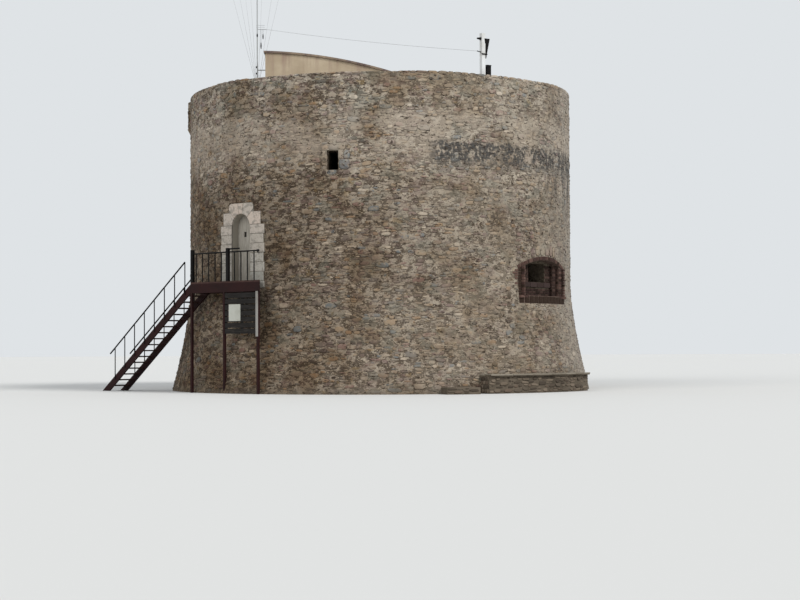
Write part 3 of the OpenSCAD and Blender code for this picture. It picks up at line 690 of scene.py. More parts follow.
def mesh_of(bm: BMesh, name: str, smooth: bool = False) -> Mesh:
    """Turns a bmesh into a mesh.

    Args:
        bm: The shape, which is freed.
        name: The mesh's name.
        smooth: Whether its faces are shaded as one.

    Returns:
        The mesh.
    """
    mesh = bpy.data.meshes.new(name)
    bmesh.ops.recalc_face_normals(bm, faces=bm.faces)
    for face in bm.faces:
        face.smooth = smooth
    bm.to_mesh(mesh)
    bm.free()
    return mesh


def made_of(bm: BMesh, name: str) -> Object:
    """Turns a bmesh, which is freed, into an object of the scene."""
    return linked(name, mesh_of(bm, name))


def bevelled(bm: BMesh, edges: Iterable[BMEdge], offset: float, segments: int = 1) -> None:
    """Rounds edges of a bmesh.

    Args:
        bm: The shape.
        edges: Its edges.
        offset: How far each is cut back.
        segments: Steps of the rounding.
    """
    bmesh.ops.bevel(
        bm, geom=list(edges), offset=offset, affect="EDGES", segments=segments, profile=0.5, material=-1
    )


def add_box(bm: BMesh, low: Floats, high: Floats) -> list[BMVert]:
    """Adds a box.

    Args:
        bm: The shape that gets it.
        low: Its lowest corner.
        high: Its highest corner.

    Returns:
        Its vertices.
    """
    middle = (Vector(high) + Vector(low)) / 2
    place = Matrix.Translation(middle) @ Matrix.Diagonal((*(Vector(high) - Vector(low)), 1.0))
    return bmesh.ops.create_cube(bm, size=1.0, matrix=place)["verts"]


def add_rod(
    bm: BMesh, start: Floats, end: Floats, radius: float, sides: int = 10,
    tip: float | None = None,
) -> None:
    """Adds a round rod.

    Args:
        bm: The shape that gets it.
        start: One end.
        end: The other end.
        radius: Its radius at the start.
        sides: Its number of sides.
        tip: Its radius at the end, where that is another.
    """
    start, end = Vector(start), Vector(end)
    turn = (end - start).to_track_quat("Z", "Y").to_matrix().to_4x4()
    bmesh.ops.create_cone(
        bm, cap_ends=True, segments=sides, radius1=radius, radius2=radius if tip is None else tip,
        depth=(end - start).length, matrix=Matrix.Translation((start + end) / 2) @ turn,
    )


@dataclass(frozen=True)
class Drum:
    """Form of the drum, read from the frame, which its facing follows."""

    radius: float
    flare: float
    flare_height: float
    top: float
    wall_head: float
    terrace_radius: float
    terrace: float
    flare_steps: int = 6

    @classmethod
    def from_frame(cls) -> Drum:
        """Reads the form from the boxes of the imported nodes.

        Returns:
            The drum.
        """
        radius = -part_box("parapet_front")[0].y
        wall_low, wall_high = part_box("wall_front")
        paving_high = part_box("terrace_paving")[1]
        return cls(
            radius=radius,
            flare=-wall_low.y - radius,
            flare_height=3.2,
            top=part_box("parapet_front")[1].z,
            wall_head=wall_high.z,
            terrace_radius=paving_high.x,
            terrace=paving_high.z,
        )

    def step_radius(self, step: int) -> float:
        """Radius of the flare at one of its steps."""
        return self.radius + self.flare * max(0.0, 1 - step / self.flare_steps) ** 1.5

    def face_radius(self, height: float) -> float:
        """Radius of the face at a height.

        Args:
            height: The height.

        Returns:
            The radius.
        """
        if height >= self.flare_height:
            return self.radius
        share = height / self.flare_height * self.flare_steps
        step = int(share)
        low, high = self.step_radius(step), self.step_radius(step + 1)
        return low + (high - low) * (share - step)

    def batter(self, height: float) -> float:
        """Lean of the face at a height, in radians.

        Args:
            height: The height.

        Returns:
            The angle.
        """
        if height >= self.flare_height:
            return 0.0
        reach = self.flare_height / self.flare_steps
        return atan2(self.face_radius(height) - self.face_radius(height + reach), reach)

    def spot(self, azimuth: float, height: float, radius: float) -> Vector:
        """Point at an azimuth in radians, a height and a radius."""
        return Vector((radius * sin(azimuth), -radius * cos(azimuth), height))


def turned(azimuth: float) -> Matrix:
    """Gives the turn about the drum's axis from the front to an azimuth in degrees."""
    return Matrix.Rotation(radians(azimuth), 3, "Z")


def turn_to(bm: BMesh, azimuth: float, reach: float = 0.0) -> None:
    """Moves a shape outwards by a reach, and from the front to an azimuth in degrees."""
    bmesh.ops.translate(bm, verts=bm.verts, vec=(0, -reach, 0))
    bmesh.ops.rotate(bm, verts=bm.verts, cent=(0, 0, 0), matrix=turned(azimuth))


class Shapes:
    """Rough unit blocks that are laid many times, each with its own size and turn."""

    def __init__(self, name: str) -> None:
        """Starts an empty set of that name."""
        self.collection = bpy.data.collections.new(name)
        self.chips_from = 0

    def __len__(self) -> int:
        """Number of shapes."""
        return len(self.collection.objects)

    def keep(self, bm: BMesh, smooth: bool) -> None:
        """Keeps a bmesh as the next shape."""
        name = f"{self.collection.name}_{len(self):02d}"
        self.collection.objects.link(bpy.data.objects.new(name, mesh_of(bm, name, smooth)))

    @classmethod
    def field_stones(cls, count: int, chips: int, rng: Random) -> Shapes:
        """Makes rounded stones of many outlines, with their fronts at -Y, and then plainer chips.

        Args:
            count: Number of stone shapes.
            chips: Number of chip shapes.
            rng: Source of chance.

        Returns:
            The shapes.
        """
        shapes = cls("stone")
        for number in range(count + chips):
            chip = number >= count
            bm = bmesh.new()
            add_box(bm, (-0.5, -0.5, -0.5), (0.5, 0.5, 0.5))
            for corner in rng.sample(range(4), 2 if chip else rng.choice((3, 4, 4))):
                deep = [e for e in bm.edges if abs(e.verts[0].co.y - e.verts[1].co.y) > 0.9]
                side = Vector((1 if corner % 2 else -1, 0, 1 if corner > 1 else -1))
                edge = max(deep, key=lambda e: (e.verts[0].co + e.verts[1].co).dot(side))
                bevelled(bm, [edge], rng.uniform(0.14, 0.34))
            front = [f for f in bm.faces if f.normal.y < -0.9]
            if chip:
                bmesh.ops.scale(bm, vec=(0.86, 1.0, 0.82), verts=front[0].verts)
            else:
                border = rng.uniform(0.07, 0.12)
                bmesh.ops.inset_region(bm, faces=front, thickness=border, use_even_offset=True)
                lean = rng.uniform(-0.1, 0.1), rng.uniform(-0.1, 0.1)
                for vert in front[0].verts:
                    vert.co.y -= rng.uniform(0.07, 0.15) + vert.co.x * lean[0] + vert.co.z * lean[1]
            for vert in bm.verts:
                vert.co.x += rng.uniform(-0.04, 0.04)
                vert.co.z += rng.uniform(-0.04, 0.04)
            cls.mark_joint_shade(bm, chip)
            shapes.keep(bm, smooth=not chip)
        shapes.chips_from = count
        return shapes

    @staticmethod
    def mark_joint_shade(bm: BMesh, chip: bool) -> None:
        """Marks how much painted joint shade each vertex takes, most on its underside, none on a stone's
        front.

        Args:
            bm: The stone.
            chip: Whether it is a chip.
        """
        layer = bm.verts.layers.float.new(JOINT_SHADE)
        for vert in bm.verts:
            share = 0.45 if chip else float(vert.co.y > -0.501)
            vert[layer] = share * (1.0 if vert.co.z < 0 else 0.3)

    @classmethod
    def square_blocks(cls, count: int, bevel: float, jitter: float, rng: Random) -> Shapes:
        """Makes squared blocks with worn front edges, such as bricks and slabs.

        Args:
            count: Number of shapes.
            bevel: Width of the worn edges as a share of the block.
            jitter: How far a corner may be off.
            rng: Source of chance.

        Returns:
            The shapes.
        """
        shapes = cls("block")
        for _ in range(count):
            bm = bmesh.new()
            add_box(bm, (-0.5, -0.5, -0.5), (0.5, 0.5, 0.5))
            for vert in bm.verts:
                vert.co.x += rng.uniform(-jitter, jitter)
                vert.co.z += rng.uniform(-jitter, jitter)
            front = [f for f in bm.faces if f.normal.y < -0.9]
            bmesh.ops.inset_region(bm, faces=front, thickness=bevel, use_even_offset=True)
            for vert in front[0].verts:
                vert.co.y -= bevel
            shapes.keep(bm, smooth=False)
        return shapes

    def discard(self) -> None:
        """Removes the shapes once everything is laid."""
        for shape in list(self.collection.objects):
            bpy.data.meshes.remove(shape.data)
        bpy.data.collections.remove(self.collection)


@dataclass
class Laying:
    """Blocks of one piece, laid one by one."""

    name: str
    shapes: Shapes
    rng: Random
    blocks: list[tuple[Vector, Floats, Floats, float, int]] = field(default_factory=list)

    def lay(
        self, place: Vector, turn: Floats, size: Floats, tint: float | None = None,
        kinds: tuple[int, int] | None = None,
    ) -> None:
        """Lays a block, with a tint by chance if it is None and a shape of a range of kinds or of all."""
        tint = self.rng.random() if tint is None else tint
        self.blocks.append((place, turn, size, tint, self.rng.randrange(*(kinds or (0, len(self.shapes))))))

    def lay_on_face(
        self, drum: Drum, azimuth: float, across: float, height: float, proud: float, roll: float,
        size: Floats, tint: float | None = None, kinds: tuple[int, int] | None = None,
    ) -> None:
        """Lays one block in the drum's face.

        Args:
            drum: The drum.
            azimuth: The azimuth from which the block is measured, in degrees.
            across: Its distance to the side of that.
            height: Its middle height.
            proud: How far its front stands out.
            roll: Its turn in the face.
            size: Its width, depth and height.
            tint: Its place in the palette, or chance.
            kinds: Range of its shapes, or all.
        """
        radius = drum.radius + proud
        angle = radians(azimuth) + asin(across / radius)
        self.lay(drum.spot(angle, height, radius - size[1] / 2), (0.0, roll, angle), size, tint, kinds)

    def points(self) -> Object:
        """Makes a cloud of points that carry each block's turn, size, tint and shape.

        Returns:
            The cloud.
        """
        places, turns, sizes, tints, kinds = zip(*self.blocks)
        mesh = bpy.data.meshes.new(self.name)
        mesh.vertices.add(len(places))
        mesh.vertices.foreach_set("co", [c for place in places for c in place])
        for name, values in (("turn", turns), ("size", sizes)):
            vectors = mesh.attributes.new(name, "FLOAT_VECTOR", "POINT")
            vectors.data.foreach_set("vector", [c for value in values for c in value])
        for name, kind, values in ((TINT, "FLOAT", tints), ("shape", "INT", kinds)):
            mesh.attributes.new(name, kind, "POINT").data.foreach_set("value", values)
        return linked(self.name, mesh)

    def group(self) -> NodeTree:
        """Builds the node group that sets a shape on each point and makes the shapes real.

        Returns:
            The group.
        """
        tree = bpy.data.node_groups.new(f"{self.name}_laying", "GeometryNodeTree")
        for way in ("INPUT", "OUTPUT"):
            tree.interface.new_socket("Geometry", in_out=way, socket_type="NodeSocketGeometry")
        graph = Graph(tree)
        choice = {"Collection": self.shapes.collection, "Separate Children": True, "Reset Children": True}
        values = {
            "Points": graph.add("NodeGroupInput").outputs[0],
            "Instance": graph.add("GeometryNodeCollectionInfo", choice).outputs[0],
            "Pick Instance": True,
        }
        for name, kind, socket in (
            ("shape", "INT", "Instance Index"),
            ("turn", "FLOAT_VECTOR", "Rotation"),
            ("size", "FLOAT_VECTOR", "Scale"),
        ):
            reader = graph.add("GeometryNodeInputNamedAttribute", {"Name": name}, data_type=kind)
            values[socket] = reader.outputs["Attribute"]
        set_out = graph.add("GeometryNodeInstanceOnPoints", values)
        real = graph.add("GeometryNodeRealizeInstances", {0: set_out.outputs[0]})
        graph.add("NodeGroupOutput", {0: real.outputs[0]})
        return tree

    def build(self, material: Material, slot: Slot) -> None:
        """Makes the blocks one mesh.

        Args:
            material: Their material.
            slot: The record's slot that they belong to.
        """
        piece = self.points()
        piece.modifiers.new("laying", "NODES").node_group = self.group()
        graph = bpy.context.evaluated_depsgraph_get()
        evaluated = piece.evaluated_get(graph)
        real = bpy.data.meshes.new_from_object(evaluated, preserve_all_data_layers=True, depsgraph=graph)
        piece.modifiers.clear()
        piece.data = real
        real.name = self.name
        for spare in ("turn", "size", "shape"):
            if spare in real.attributes:
                real.attributes.remove(real.attributes[spare])
        settle(piece, material, slot)


@dataclass(frozen=True)
class Gap:
    """A part of the drum's face that field stones keep off."""

    azimuth: float
    low: float
    high: float
    half_width: Callable[[float, float], float]

    def blocks(self, low: float, high: float, radius: float) -> tuple[float, float] | None:
        """Finds the stretch that a course may not use.

        Args:
            low: The course's lowest height.
            high: The course's highest height.
            radius: The face's radius there.

        Returns:
            The first and last azimuth in radians, or None.
        """
        if high <= self.low or low >= self.high:
            return None
        half = self.half_width(low, high)
        if half <= 0:
            return None
        angle = asin(min(0.99, half / radius))
        middle = radians(self.azimuth)
        return (middle - angle, middle + angle)


def constant(width: float) -> Callable[[float, float], float]:
    """Gives a half width that is the same at every height."""
    return lambda low, high: width


@dataclass(frozen=True)
class Embrasure:
    """Sizes of a gun embrasure's outer recess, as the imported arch, cheeks and sill have them."""

    azimuth: float
    half_width: float = 1.35
    back_half_width: float = 0.8
    depth: float = 0.32
    crown: float = 3.89
    rise: float = 0.3
    ring: float = 0.11
    sill: float = 2.82
    sill_height: float = 0.23
    cheek_steps: int = 3
    throat_half_width: float = 0.48
    throat_sill: float = 3.24
    throat_height: float = 0.56
    ledge_height: float = 0.16
    teeth_low: float = 3.13
    teeth_high: float = 3.6
    teeth_length: float = 0.22
    upright_half_width: float = 0.75
    upright_tall: float = 0.36
    clearance: float = 0.01

    @property
    def arch_radius(self) -> float:
        """Radius of the arch's underside."""
        return (self.half_width**2 + self.rise**2) / (2 * self.rise)

    @property
    def arch_centre(self) -> float:
        """Height of the arch's centre."""
        return self.crown - self.arch_radius

    def clear_half_width(self, low: float, high: float) -> float:
        """Half of the width that stones keep off between two heights.

        Args:
            low: The lower one.
            high: The higher one; not used.

        Returns:
            The half width.
        """
        outer = self.arch_radius + self.ring + self.clearance
        rise = low - self.arch_centre
        if rise >= outer:
            return 0.0
        return min(self.half_width + self.clearance, sqrt(outer**2 - max(0.0, rise) ** 2))

    def gaps(self) -> list[Gap]:
        """The parts of the face that the embrasure, its toothing and the stones above its arch take.

        Returns:
            The gaps.
        """
        ring = self.arch_radius + self.ring
        low = self.sill - self.sill_height
        found = [Gap(self.azimuth, low, self.arch_centre + ring, self.clear_half_width)]
        foot = self.arch_centre + sqrt(ring**2 - self.upright_half_width**2)
        head = self.arch_centre + ring + self.upright_tall
        found.append(Gap(self.azimuth, foot, head, constant(self.upright_half_width + 0.08)))
        for side in (-1, 1):
            middle = self.azimuth + side * degrees((self.half_width + self.teeth_length / 2) / FACE_RADIUS)
            found.append(Gap(middle, self.teeth_low, self.teeth_high, constant(self.teeth_length / 2 + 0.02)))
        return found


@dataclass(frozen=True)
class Doorway:
    """Sizes of the raised doorway's dressed surround and of its leaf."""

    azimuth: float = -43.0
    opening: float = 0.78
    threshold: float = 3.25
    threshold_height: float = 0.2
    crown: float = 5.23
    width: float = 1.87
    top: float = 5.54
    course: float = 0.275
    courses: int = 6
    quoin_step: float = 0.03
    shoulder_step: float = 0.135
    shoulder_height: float = 0.375
    crown_width: float = 1.05
    crown_corner: float = 0.11
    clearance: float = 0.012

    @property
    def springing(self) -> float:
        """Height of the centre of the opening's round arch."""
        return self.crown - self.opening / 2

    @property
    def shoulder(self) -> float:
        """Height of the foot of the shoulder stones."""
        return self.threshold + self.courses * self.course

    def course_half_width(self, number: int) -> float:
        """Half width of a jamb course, where even ones are short."""
        return self.width / 2 - (self.quoin_step if number % 2 == 0 else 0.0)

    @property
    def bands(self) -> list[tuple[float, float, float]]:
        """Foot, top and half width of the threshold, the jamb courses, the shoulders and the crown.

        Returns:
            The bands, from the ground up.
        """
        feet = [(self.threshold + n * self.course, self.course_half_width(n)) for n in range(self.courses)]
        return [
            (0.0, self.threshold, self.width / 2),
            *((foot, foot + self.course, half) for foot, half in feet),
            (self.shoulder, self.shoulder + self.shoulder_height, self.width / 2 - self.shoulder_step),
            (self.shoulder, self.top, self.crown_width / 2),
        ]

    def clear_half_width(self, low: float, high: float) -> float:
        """Half of the width that stones keep off between two heights."""
        met = (half for foot, top, half in self.bands if low < top and high > foot)
        return self.clearance + max(met, default=0.0)

    def gap(self) -> Gap:
        """The part of the face that the surround takes."""
        return Gap(self.azimuth, self.threshold - self.threshold_height, self.top, self.clear_half_width)


@dataclass(frozen=True)
class Slit:
    """Sizes of a small window and of the frame of stones round it."""

    azimuth: float
    width: float = 0.34
    sill: float = 6.36
    height: float = 0.56
    border: float = 0.15
    right_block: float = 0.34

    def gap(self) -> Gap:
        """The part of the face that the window takes.

        Returns:
            The gap.
        """
        half = (self.width + self.border + self.right_block) / 2 + 0.01
        middle = self.azimuth + degrees((self.right_block - self.border) / 2 / FACE_RADIUS)
        return Gap(middle, self.sill - self.border, self.sill + self.height + self.border, constant(half))


@dataclass(frozen=True)
class StoneSort:
    """Field stones of about one size, in metres, and how many places a square metre are tried for them."""

    widths: tuple[float, float]
    heights: tuple[float, float]
    least: tuple[float, float]
    tries: float


STONE_SORTS = (
    StoneSort((0.26, 0.42), (0.12, 0.19), (0.22, 0.1), 2.2),
    StoneSort((0.16, 0.34), (0.065, 0.13), (0.12, 0.055), 38.0),
    StoneSort((0.09, 0.24), (0.045, 0.09), (0.07, 0.04), 90.0),
    StoneSort((0.05, 0.12), (0.035, 0.07), (0.045, 0.035), 70.0),
)
CHIP_WIDTH = 0.115
RIM_RISE = (
    (-180.0, 0.02), (-150.0, 0.0), (-120.0, 0.03), (-90.0, 0.01), (-60.0, 0.0), (-45.0, 0.035), (-37.0, 0.0),
    (0.0, 0.0), (17.0, 0.045), (30.0, 0.03), (50.0, 0.03), (60.0, 0.07), (74.0, 0.07), (90.0, 0.02),
    (120.0, 0.04), (150.0, 0.0), (180.0, 0.02),
)


@dataclass(frozen=True)
class Claim:
    """The rectangle of a wall face that one stone takes, with its middle's azimuth and height."""

    azimuth: float
    height: float
    width: float
    tall: float


class Patchwork:
    """A stretch of the drum's face in small cells, in which stones claim free rectangles."""

    CELL = 0.01

    def __init__(
        self, start: float, end: float, low: float, high: float, radius: Callable[[float], float]
    ) -> None:
        """Starts a free stretch.

        Args:
            start: Its first azimuth, in degrees.
            end: Its last azimuth.
            low: Its lowest height.
            high: Its highest height.
            radius: Gives the face's radius at a height.
        """
        self.start = radians(start)
        span = radians(end - start)
        self.low = low
        self.radius = radius
        rows = max(1, int((high - low) / self.CELL))
        columns = int(radius(high) * span / self.CELL)
        self.step = span / columns
        self.shift = 0
        self.taken = np.zeros((rows, columns), dtype=bool)

    def height(self, row: float) -> float:
        """Height of a row's lower edge."""
        return self.low + row * self.CELL

    def keep_off(self, gaps: Sequence[Gap]) -> None:
        """Takes the cells of the gaps, so that no stone claims them.

        Args:
            gaps: The gaps.
        """
        columns = self.taken.shape[1]
        for row in range(self.taken.shape[0]):
            low, high = self.height(row), self.height(row + 1)
            for gap in gaps:
                stretch = gap.blocks(low, high, self.radius(low))
                if stretch is None:
                    continue
                for turn in (-2 * pi, 0.0, 2 * pi):
                    first, last = ((angle + turn - self.start) / self.step for angle in stretch)
                    first, last = max(0, floor(first)), min(columns, ceil(last))
                    if first < last:
                        self.taken[row, first:last] = True

    def turn_half(self) -> None:
        """Turns a full circle by half, so that stones can cross the line where it was cut open."""
        half = self.taken.shape[1] // 2
        self.taken = np.roll(self.taken, half, axis=1)
        self.shift += half

    def grow(self, row: int, column: int, tall: int, wide: int) -> tuple[int, int, int, int]:
        """Grows a rectangle from a free cell until it has its size or is hemmed in.

        Args:
            row: The cell's row.
            column: The cell's column.
            tall: Most rows.
            wide: Most columns.

        Returns:
            First row, row past the last, first column, column past the last.
        """
        taken = self.taken
        rows, columns = taken.shape
        bottom, top, left, right = row, row + 1, column, column + 1
        growing = True
        while growing:
            growing = False
            for _ in range(2):
                if right - left < wide and right < columns and not taken[bottom:top, right].any():
                    right += 1
                    growing = True
                if right - left < wide and left > 0 and not taken[bottom:top, left - 1].any():
                    left -= 1
                    growing = True
            if top - bottom < tall and top < rows and not taken[top, left:right].any():
                top += 1
                growing = True
            if top - bottom < tall and bottom > 0 and not taken[bottom - 1, left:right].any():
                bottom -= 1
                growing = True
        return bottom, top, left, right

    def claims(self, sort: StoneSort, rng: Random) -> Iterator[Claim]:
        """Claims room for the stones of one sort.

        Args:
            sort: The sort.
            rng: Source of chance.

        Yields:
            The claimed rectangles.
        """
        rows, columns = self.taken.shape
        for _ in range(int(sort.tries * rows * columns * self.CELL**2)):
            row, column = rng.randrange(rows), rng.randrange(columns)
            if self.taken[row, column]:
                continue
            across = self.radius(self.height(row)) * self.step
            wide, tall = rng.uniform(*sort.widths) / across, rng.uniform(*sort.heights) / self.CELL
            bottom, top, left, right = self.grow(row, column, round(tall), round(wide))
            width, height = (right - left) * across, (top - bottom) * self.CELL
            if width < sort.least[0] or height < sort.least[1]:
                continue
            self.taken[bottom:top, left:right] = True
            middle = ((left + right) / 2 - self.shift) % columns
            yield Claim(self.start + middle * self.step, self.height((bottom + top) / 2), width, height)


@dataclass
class Facing:
    """Field stones of all sizes, fitted together over a stretch of wall without courses."""

    name: str
    drum: Drum
    shapes: Shapes
    seed: int
    start: float
    end: float
    low: float
    high: float
    radius: Callable[[float], float]
    gaps: Sequence[Gap] = ()
    pieces: int = 1
    inward: bool = False
    joint: tuple[float, float] = (0.008, 0.024)
    proud: tuple[float, float] = (-0.014, 0.008)
    depth: float = 0.06
    roll: float = 0.07
    skew: float = 0.035
    margin: float = 0.12

    def stone(self, laying: Laying, claim: Claim) -> None:
        """Lays one stone in the room that it claimed.

        Args:
            laying: The piece that gets it.
            claim: Its room.
        """
        rng = laying.rng
        below, above = claim.height - claim.tall / 2 - self.low, self.high - claim.height - claim.tall / 2
        ease = max(0.0, min(1.0, below / self.margin, above / self.margin))
        lean = self.drum.batter(claim.height) if not self.inward else 0.0
        side = -1 if self.inward else 1
        radius = self.radius(claim.height) + side * (rng.uniform(*self.proud) - self.depth / 2)
        facing = claim.azimuth + (pi if self.inward else 0.0)
        nod, roll = rng.gauss(0, self.skew) * ease - lean, rng.gauss(0, self.roll) * ease
        turn = (nod, roll, facing + rng.gauss(0, self.skew))
        chip = claim.width < CHIP_WIDTH
        gap = rng.uniform(*self.joint) * (0.6 if chip else 1.0)
        kinds = (self.shapes.chips_from, len(self.shapes)) if chip else (0, self.shapes.chips_from)
        size = (claim.width - gap, self.depth, claim.tall - gap)
        laying.lay(self.drum.spot(claim.azimuth, claim.height, radius), turn, size, kinds=kinds)

    def build(self, material: Material) -> None:
        """Fits the stones together, the largest first, and lays them in one or more pieces.

        Args:
            material: The stones' material.
        """
        rng = Random(self.seed)
        plan = Patchwork(self.start, self.end, self.low, self.high, self.radius)
        plan.keep_off(self.gaps)
        names = [f"{self.name}_{i + 1}" for i in range(self.pieces)] if self.pieces > 1 else [self.name]
        layings = [Laying(name, self.shapes, rng) for name in names]
        share = radians(self.end - self.start) / self.pieces
        for sort in STONE_SORTS:
            for claim in plan.claims(sort, rng):
                number = int((claim.azimuth - radians(self.start)) / share)
                self.stone(layings[min(number, self.pieces - 1)], claim)
            if self.end - self.start >= 360.0:
                plan.turn_half()
        for laying in layings:
            laying.build(material, Slot.RUBBLE)


@dataclass
class Masonry:
    """All the field stones of the tower."""

    drum: Drum
    doorway: Doorway
    slits: Sequence[Slit]
    embrasures: Sequence[Embrasure]
    finishes: Finishes
    shapes: Shapes = field(init=False)
    pieces: int = 6
    shape_count: int = 20
    chip_count: int = 8
    foot: float = 0.015
    bench_end_rows: int = 4
    bench_end_depth: float = 0.5
    arris: float = 0.05
    rim_depth: float = 0.05
    panel_azimuth: float = -90.0
    panel_half_width: float = 0.5
    panel_proud: float = 0.08
    panel_low: float = 7.99
    panel_high: float = 9.07
    bench_from: float = 26.0
    bench_to: float = 63.0
    bench_height: float = 0.54
    seat_thickness: float = 0.06
    plinth_reach: float = 0.95
    step_reach: float = 1.12
    seat_reach: float = 1.02
    slab: float = 0.035
    step_from: float = 15.0
    step_to: float = 23.0
    step_height: float = 0.19

    def gaps(self) -> list[Gap]:
        """Everything on the face that the stones keep off.

        Returns:
            The gaps.
        """
        found = [self.doorway.gap()]
        found += [slit.gap() for slit in self.slits]
        found += [gap for embrasure in self.embrasures for gap in embrasure.gaps()]
        panel = constant(self.panel_half_width)
        found.append(Gap(self.panel_azimuth, self.panel_low, self.panel_high, panel))
        for start, end, height in (
            (self.bench_from, self.bench_to, self.bench_height),
            (self.step_from, self.step_to, self.step_height),
        ):
            half = sin(radians(end - start) / 2) * self.drum.face_radius(height / 2)
            found.append(Gap((start + end) / 2, 0.0, height, constant(half)))
        return found

    def build(self) -> None:
        """Lays the drum's facing, the panel, the bench, the windows, the parapet's inner face and the rim."""
        self.shapes = Shapes.field_stones(self.shape_count, self.chip_count, Random(7))
        Facing(
            "facing", self.drum, self.shapes, 110, -180.0, 180.0, self.foot, self.drum.top - self.arris,
            self.drum.face_radius, self.gaps(), self.pieces,
        ).build(self.finishes.stone)
        for number, slit in enumerate(self.slits, 1):
            name = f"window_stones_{number}"
            SlitStones(name, self.drum, self.shapes, slit, 60 + number).build(self.finishes.stone)
        for number, embrasure in enumerate(self.embrasures, 1):
            name = f"upright_stones_{number}"
            UprightStones(name, self.drum, self.shapes, embrasure, 80 + number).build(self.finishes.stone)
        self.build_panel()
        self.build_bench()
        self.build_parapet()
        self.shapes.discard()

    def build_panel(self) -> None:
        """Lays the stones of the shallow panel on the flank."""
        half = degrees(asin(self.panel_half_width / self.drum.radius))
        Facing(
            "panel_facing", self.drum, self.shapes, 210, self.panel_azimuth - half, self.panel_azimuth + half,
            self.panel_low + 2 * self.panel_proud, self.panel_high - self.panel_proud / 2,
            partial(self.front, self.panel_proud),
        ).build(self.finishes.stone)

    def front(self, reach: float, height: float) -> float:
        """Radius of an upright face that stands out from the drum by a reach, at every height."""
        return self.drum.radius + reach

    def build_bench(self) -> None:
        """Lays the stones on the front of the bench's plinth."""
        plinth_top, step_top = self.bench_height - self.seat_thickness, self.step_height - 0.01
        for name, seed, start, end, high, reach in (
            ("bench_facing", 220, self.bench_from, self.bench_to, plinth_top, self.plinth_reach),
            ("step_facing", 221, self.step_from, self.step_to, step_top, self.step_reach),
        ):
            front = partial(self.front, reach)
            fronts = (name, self.drum, self.shapes, seed, start, end, self.foot, high, front)
            Facing(*fronts, proud=(0.0, 0.008)).build(self.finishes.plinth)
        self.build_bench_end()
        self.build_seat()

    def build_bench_end(self) -> None:
        """Lays the stones on the end of the bench's plinth, for some way in from its front."""
        rng = Random(44)
        end = Laying("bench_end", self.shapes, rng)
        front = self.drum.radius + self.plinth_reach
        tall = (self.bench_height - self.seat_thickness - self.foot) / self.bench_end_rows
        turn = radians(self.bench_from)
        for row in range(self.bench_end_rows):
            spot, last = front - self.bench_end_depth, front - 0.01
            while last - spot > 0.08:
                width = min(rng.uniform(0.13, 0.28), last - spot)
                place = self.drum.spot(turn, self.foot + (row + 0.5) * tall, spot + width / 2)
                place += Vector((cos(turn), sin(turn), 0)) * 0.02
                size = (width - 0.015, 0.05, tall - 0.012)
                end.lay(place, (0.0, 0.0, turn - pi / 2), size, kinds=(0, self.shapes.chips_from))
                spot += width
        end.build(self.finishes.plinth, Slot.BENCH_STONE)

    def build_seat(self) -> None:
        """Lays the pale slabs of the bench's seat."""
        rng = Random(45)
        shapes = Shapes.square_blocks(6, 0.03, 0.006, rng)
        seat = Laying("bench_slabs", shapes, rng)
        front = self.drum.radius + self.seat_reach + 0.004
        inner = self.drum.face_radius(self.bench_height) + 0.01
        spot, last = radians(self.bench_from) + 0.002, radians(self.bench_to) - 0.002
        while last - spot > 0.02:
            width = rng.uniform(0.45, 0.8) / front
            width = last - spot if last - spot < 1.5 * width else width
            height = self.bench_height + 0.005 - self.slab / 2
            place = self.drum.spot(spot + width / 2, height, (front + inner) / 2)
            size = (width * front - 0.008, front - inner, self.slab)
            seat.lay(place, (0.0, 0.0, spot + width / 2), size)
            spot += width
        seat.build(self.finishes.seat, Slot.BENCH_STONE)
        shapes.discard()

    def build_parapet(self) -> None:
        """Lays the parapet's inner face and the stones of its worn rim."""
        inner = self.drum.terrace_radius - self.drum.radius
        Facing(
            "parapet_lining", self.drum, self.shapes, 310, -180.0, 180.0, self.drum.terrace,
            self.drum.top - 0.02, partial(self.front, inner), inward=True,
        ).build(self.finishes.stone)
        rim = Laying("parapet_rim", self.shapes, Random(41))
        self.rim_ring(rim, self.drum.radius - self.arris, pi / 4, (0.05, 0.08))
        for inset in (0.15, 0.33, 0.52):
            self.rim_ring(rim, self.drum.radius - inset, pi / 2, (0.12, 0.17))
        rim.build(self.finishes.stone, Slot.RUBBLE)

    def rise(self, azimuth: float) -> float:
        """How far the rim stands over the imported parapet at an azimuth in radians."""
        places, heights = zip(*RIM_RISE)
        return float(np.interp(degrees(azimuth), places, heights))

    def rim_ring(self, rim: Laying, radius: float, lean: float, across: tuple[float, float]) -> None:
        """Lays one ring of stones along the parapet's top.

        Args:
            rim: The piece that gets them.
            radius: The ring's radius, at the centre of the worn arris for a leaning ring.
            lean: How far the stones' fronts lean from upright, in radians.
            across: Least and most width of the stones across the ring.
        """
        rng, depth = rim.rng, self.rim_depth
        round_off = self.arris if lean < 1.0 else 0.0
        spot = -pi
        while spot < pi - 0.02:
            width = min(rng.uniform(0.14, 0.36), (pi - spot) * radius)
            middle = spot + width / radius / 2
            rise = self.rise(middle)
            out = round_off + rng.uniform(-0.013, -0.006) - depth / 2
            height = self.drum.top - round_off + out * sin(lean)
            place = self.drum.spot(middle, height, radius + out * cos(lean))
            size = (width - rng.uniform(0.01, 0.03), depth, rng.uniform(*across))
            if lean > 1.0:
                place.z += rise / 2
                size = (size[0], depth + rise, size[2])
            rim.lay(place, (-lean, rng.gauss(0, 0.03), middle), size, kinds=(0, rim.shapes.chips_from))
            if lean < 1.0 and rise > 0.012:
                tall = rise + self.arris
                place = self.drum.spot(middle, self.drum.top - self.arris + tall / 2, self.drum.radius - 0.06)
                rim.lay(place, (0.0, 0.0, middle), (size[0], 0.1, tall), kinds=(0, rim.shapes.chips_from))
            spot += width / radius


